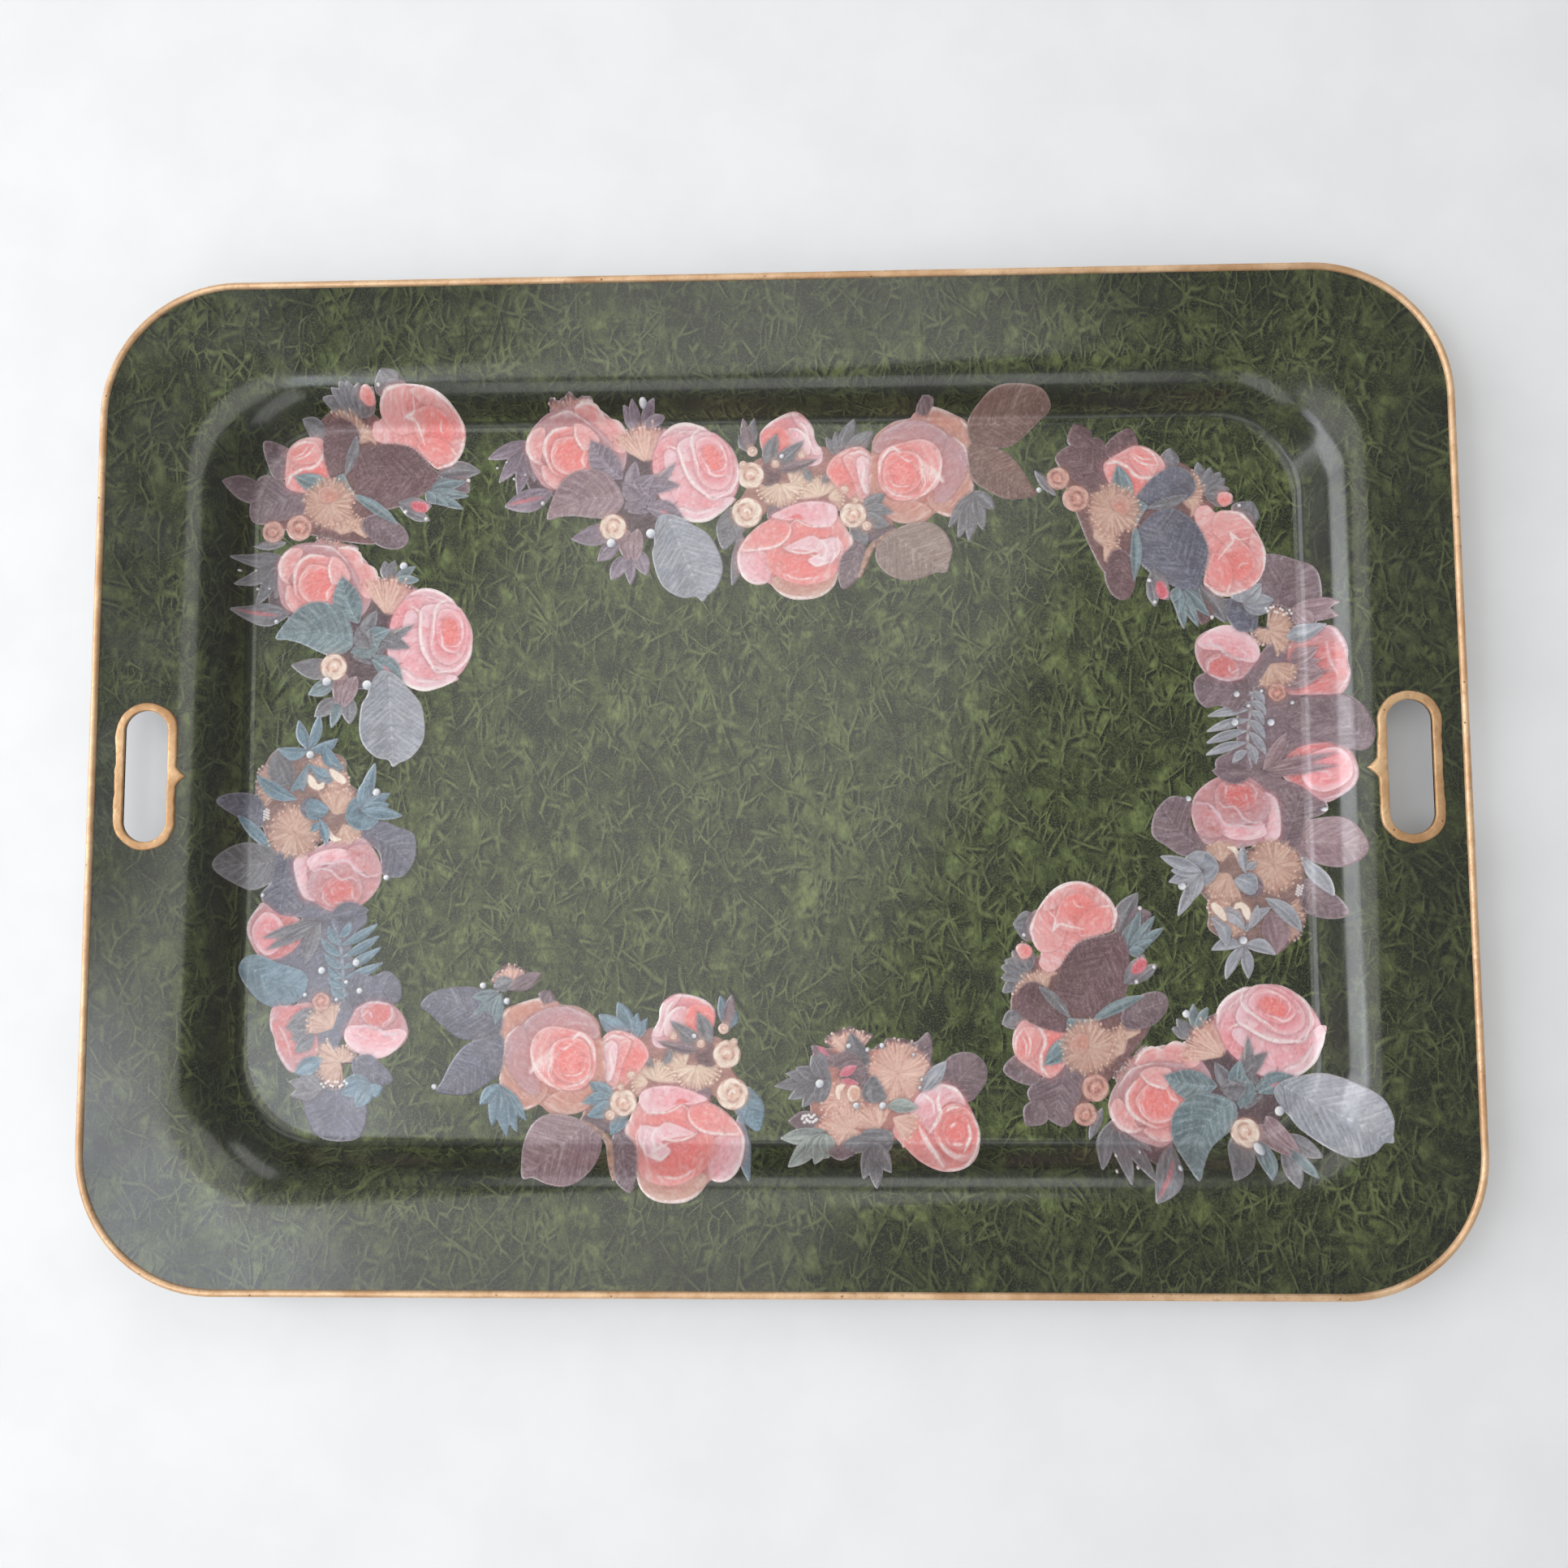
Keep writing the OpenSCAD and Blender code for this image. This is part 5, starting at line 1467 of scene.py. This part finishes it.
def marbled_green():
    """Crushed-velvet marbling in olive greens under aged gloss lacquer."""
    n = Nodes("marbled_green_lacquer")
    drift = n.add("ShaderNodeTexNoise")
    n.link(n.place, drift.inputs["Vector"])
    drift.inputs["Scale"].default_value = 1 / 0.030
    drift.inputs["Detail"].default_value = 1
    swirl = n.add("ShaderNodeVectorMath", operation="SCALE")
    n.link(drift.outputs["Color"], swirl.inputs[0])
    swirl.inputs["Scale"].default_value = 0.009
    moved = n.add("ShaderNodeVectorMath", operation="ADD")
    n.link(n.place, moved.inputs[0])
    n.link(swirl.outputs[0], moved.inputs[1])
    bent = moved.outputs[0]
    aside = n.add("ShaderNodeVectorMath", operation="ADD")
    n.link(bent, aside.inputs[0])
    aside.inputs[1].default_value = (-1.2 * MM, 0.7 * MM, 0)
    beside = aside.outputs[0]
    # Families of folds: panels of cloth, each its own shade, and along some of
    # their edges a light crease with its own soft shadow beside it.
    panels = n.noise(14, n.grain(20, 1.4, bent), 7, 0.66)
    panels = n.ramp(panels, 0.28, 0.72, 0.08, 0.92)
    creases = None
    hollows = None
    for turn, long, size, weight in ((1, 3.4, 11, 0.30), (-22, 3.0, 10, 0.26),
                                     (24, 3.0, 11, 0.26), (-47, 2.6, 12, 0.18),
                                     (50, 2.6, 13, 0.18), (-6, 2.6, 6, 0.20)):
        here = n.grain(turn, long, bent, 0.01 * size)
        lee = n.grain(turn, long, beside, 0.01 * size)
        edge = n.cells(size, here, "DISTANCE_TO_EDGE").outputs["Distance"]
        shadow = n.cells(size, lee, "DISTANCE_TO_EDGE").outputs["Distance"]
        shade = n.math("SUBTRACT", n.cells(size, here).outputs["Color"], 0.5)
        panels = n.math("MULTIPLY_ADD", shade, weight, panels)
        patchy = n.noise(11, n.grain(turn, 2.0, None, 0.02 * size), 3, 0.55)
        keep = n.ramp(patchy, 0.49, 0.65)
        line = n.math("MULTIPLY", n.ramp(edge, 0.0, 0.065, 1.0, 0.0), keep)
        hollow = n.math("MULTIPLY", n.ramp(shadow, 0.02, 0.20, 1.0, 0.0), keep)
        creases = line if creases is None else n.math("MAXIMUM", creases, line)
        hollows = hollow if hollows is None else n.math("MAXIMUM", hollows, hollow)
    base = n.mix(n.ramp(panels, 0.08, 0.62), tone(26, 30, 19), tone(68, 77, 43))
    base = n.mix(n.ramp(panels, 0.50, 1.0), base, tone(116, 128, 75))
    base = n.mix(n.math("MULTIPLY", hollows, 1.35, 0, True), base, tone(15, 17, 11))
    base = n.mix(n.math("MULTIPLY", creases, 0.75), base, tone(124, 136, 84))
    # Dark level folds across the whole sheet.
    folds = n.ramp(n.noise(7, n.grain(88, 7, bent), 3, 0.55), 0.58, 0.66, 0.0, 0.55)
    base = n.mix(folds, base, tone(22, 22, 17))
    fuzz = n.noise(2.2, n.grain(8, 2), 6, 0.80)
    base = n.mix(n.ramp(fuzz, 0.43, 0.58, 0.0, 0.45), base, tone(32, 36, 24))
    nap = n.noise(0.9, None, 3, 0.7)
    base = n.mix(n.ramp(nap, 0.48, 0.64, 0.0, 0.46), base, tone(104, 114, 68))
    scratch = n.ramp(n.noise(1.0, n.grain(-51, 60), 1), 0.74, 0.78, 0.0, 0.35)
    base = n.mix(scratch, base, tone(150, 156, 132))
    specks = n.ramp(n.cells(6.5).outputs["Distance"], 0.02, 0.045, 0.6, 0.0)
    base = n.mix(specks, base, tone(150, 156, 132))
    # Painted shade on the walls, the two ends and the corners.
    base = n.mix(painted_edge_shade(n), base, tone(27, 27, 22))
    crease_band = crease_shade_and_wax(n)
    # Painted shade in the bend at the edge of the floor.
    base = n.mix(n.math("MULTIPLY", crease_band, 0.6), base, tone(22, 22, 18))
    n.link(base, n.shader.inputs["Base Color"])
    rough = n.ramp(n.noise(30, None, 5), 0.3, 0.7, 0.18, 0.30)
    n.link(n.math("MULTIPLY_ADD", crease_band, 0.3, rough), n.shader.inputs["Roughness"])
    n.set(Coat_Weight=0.6, Coat_Roughness=0.14, IOR=1.5)
    lumps = n.bump(n.noise(9, None, 2), 0.05, 0.35)
    n.link(n.bump(n.noise(0.8, None, 2), 0.01, 0.3, lumps), n.shader.inputs["Normal"])
    return n.material


def black_japan():
    """The plain underside: brown-black baked lacquer with scuffs."""
    n = Nodes("black_japan")
    cloud = n.noise(40, None, 6)
    base = n.mix(n.ramp(cloud, 0.3, 0.7), tone(24, 21, 19), tone(40, 35, 30))
    scuff = n.squeezed((1, 0.08, 1), 24)
    marks = n.ramp(n.noise(3, scuff, 3), 0.68, 0.74)
    base = n.mix(n.math("MULTIPLY", marks, 0.35), base, tone(92, 84, 74))
    n.link(base, n.shader.inputs["Base Color"])
    n.link(n.ramp(cloud, 0.3, 0.7, 0.3, 0.48), n.shader.inputs["Roughness"])
    n.set(Coat_Weight=0.2, Coat_Roughness=0.15)
    n.link(n.bump(n.noise(1.6, None, 2), 0.03, 0.4), n.shader.inputs["Normal"])
    return n.material


def worn_gilt(name, bright, dull):
    """Hand-brushed bronze-powder gilt, pitted and rubbed."""
    n = Nodes(name)
    cloud = n.ramp(n.noise(22, None, 5, 0.6), 0.32, 0.68)
    base = n.mix(cloud, tone(*dull), tone(*bright))
    rub = n.ramp(n.noise(3.2, None, 5, 0.7), 0.55, 0.72)
    base = n.mix(n.math("MULTIPLY", rub, 0.45), base, tone(150, 104, 66))
    pits = n.ramp(n.cells(7).outputs["Distance"], 0.05, 0.09, 1.0, 0.0)
    base = n.mix(n.math("MULTIPLY", pits, 0.75), base, tone(92, 60, 40))
    n.link(n.ramp(n.noise(2, None, 4), 0.3, 0.7, 0.34, 0.56), n.shader.inputs["Roughness"])
    n.set(Metallic=0.45, IOR=1.5)
    ridges = n.noise(1.1, n.grain(-38, 6), 3)
    base = n.mix(n.ramp(ridges, 0.52, 0.66, 0.0, 0.4), base, tone(*dull))
    brushed = n.bump(ridges, 0.22, 0.7, n.bump(n.noise(1.4, None, 3), 0.10, 0.5))
    n.link(base, n.shader.inputs["Base Color"])
    dug = n.math("MULTIPLY", pits, -1.0)
    n.link(n.bump(dug, 0.25, 0.7, brushed), n.shader.inputs["Normal"])
    return n.material


def lacquered_print():
    """Printed paper, hand tinted, sealed under the tray's varnish."""
    n = Nodes("lacquered_print")
    ink = n.add("ShaderNodeAttribute", attribute_name="print").outputs["Color"]
    fibre = n.noise(0.7, None, 3, 0.7)
    base = n.mix(n.ramp(fibre, 0.35, 0.7, 0.0, 0.10), ink, tone(230, 222, 210))
    age = n.ramp(n.noise(14, None, 4), 0.35, 0.7, 0.0, 0.10)
    base = n.mix(age, base, tone(150, 130, 110))
    n.link(base, n.shader.inputs["Base Color"])
    rough = n.ramp(n.noise(12, None, 4), 0.3, 0.7, 0.22, 0.36)
    crease_band = crease_shade_and_wax(n)
    n.link(n.math("MULTIPLY_ADD", crease_band, 0.2, rough), n.shader.inputs["Roughness"])
    n.set(Coat_Weight=0.5, Coat_Roughness=0.14)
    n.link(n.bump(n.noise(0.9, None, 3), 0.02, 0.4), n.shader.inputs["Normal"])
    return n.material


def plain(name, colour, roughness, metallic=0.0):
    """A faintly cloudy plain surface."""
    n = Nodes(name)
    cloud = n.ramp(n.noise(60, None, 3), 0.3, 0.7, 0.0, 0.12)
    n.link(n.mix(cloud, colour, tone(200, 200, 200)), n.shader.inputs["Base Color"])
    n.set(Roughness=roughness, Metallic=metallic)
    return n.material


# ---------------------------------------------------------------- stage


def add_light(name, place, size, power, colour=(1, 1, 1)):
    """A soft rectangular lamp, aimed at the tray's middle."""
    lamp = bpy.data.lights.new(name, "AREA")
    lamp.shape = "RECTANGLE"
    lamp.size, lamp.size_y = size
    lamp.energy = power
    lamp.color = colour
    light = bpy.data.objects.new(name, lamp)
    light.location = place
    light.rotation_euler = (-Vector(place)).to_track_quat("-Z", "Y").to_euler()
    bpy.context.scene.collection.objects.link(light)


def build_stage():
    """The pale floor, the room's even light and five lamps."""
    ground = mesh_object("floor", [(-4000, -4000, 0), (4000, -4000, 0), (4000, 4000, 0),
                                   (-4000, 4000, 0)], [(0, 1, 2, 3)],
                         [plain("pale_floor", tone(240, 240, 240), 0.7)], False)
    world = bpy.data.worlds.new("soft_room")
    world.use_nodes = True
    world.node_tree.nodes["Background"].inputs["Color"].default_value = (0.97, 0.98, 1, 1)
    world.node_tree.nodes["Background"].inputs["Strength"].default_value = 0.31
    bpy.context.scene.world = world
    add_light("overhead", (-0.24, 0.125, 1.75), (1.74, 1.0), 7.3, colour=(1, 0.99, 0.95))
    add_light("window", (-1.02, -0.64, 1.6), (0.6, 0.5), 3.0, colour=(0.86, 0.9, 1))
    add_light("side_left", (-2.7, 0.2, 1.9), (2.2, 2.4), 70, colour=(0.93, 0.96, 1))
    add_light("side_front", (0.0, -2.3, 2.0), (2.4, 1.4), 14)
    add_light("side_back", (0.1, 2.5, 2.0), (2.2, 1.2), 13)
    bpy.context.scene.view_settings.view_transform = "Standard"


def build_camera():
    """A camera over the tray, fitted to the photographed outline."""
    lens = bpy.data.cameras.new("camera")
    lens.sensor_width = 36
    lens.lens = 26.09
    lens.clip_start = 0.01
    camera = bpy.data.objects.new("camera", lens)
    camera.location = (0.02184, -0.04316, 0.58965)
    camera.rotation_euler = [math.radians(a) for a in (3.7249, 1.4958, -0.3291)]
    bpy.context.scene.collection.objects.link(camera)
    bpy.context.scene.camera = camera


# ---------------------------------------------------------------- assembly


def put(piece, slot, *nodes):
    """Hands a piece to the frame in place of its CAD nodes."""
    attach(piece, "root")
    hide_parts(*nodes)


build_camera()
build_stage()
ground_paint, underside_paint = marbled_green(), black_japan()
gilt = worn_gilt("worn_gilt_edge", (238, 202, 162), (204, 160, 118))
collar_gilt = worn_gilt("worn_gilt_collar", (226, 188, 144), (186, 142, 98))
put(build_pan([ground_paint, underside_paint]), "marbled_green_lacquer", "tray_pan")
put(build_rim(gilt), "worn_gilt", "rim_binding")
for side, end in ((-1, "left"), (1, "right")):
    collar = build_collar(side, f"collar_{end}_gilt", collar_gilt)
    put(collar, "worn_gilt", f"handle_collar_{end}")
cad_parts["rim_wire"].data.materials.clear()
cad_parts["rim_wire"].data.materials.append(
    plain("drawn_wire", tone(120, 118, 114), 0.4, 1.0))

paper = lacquered_print()
for number, (node, paint, place, tints) in enumerate(CUTOUTS):
    canvas = paint(PRINT_PITCH, tints)
    sheet = glue_paper(node + "_print", canvas, place, paper, lift=PAPER_STEP * number)
    put(sheet, "printed_paper", node)
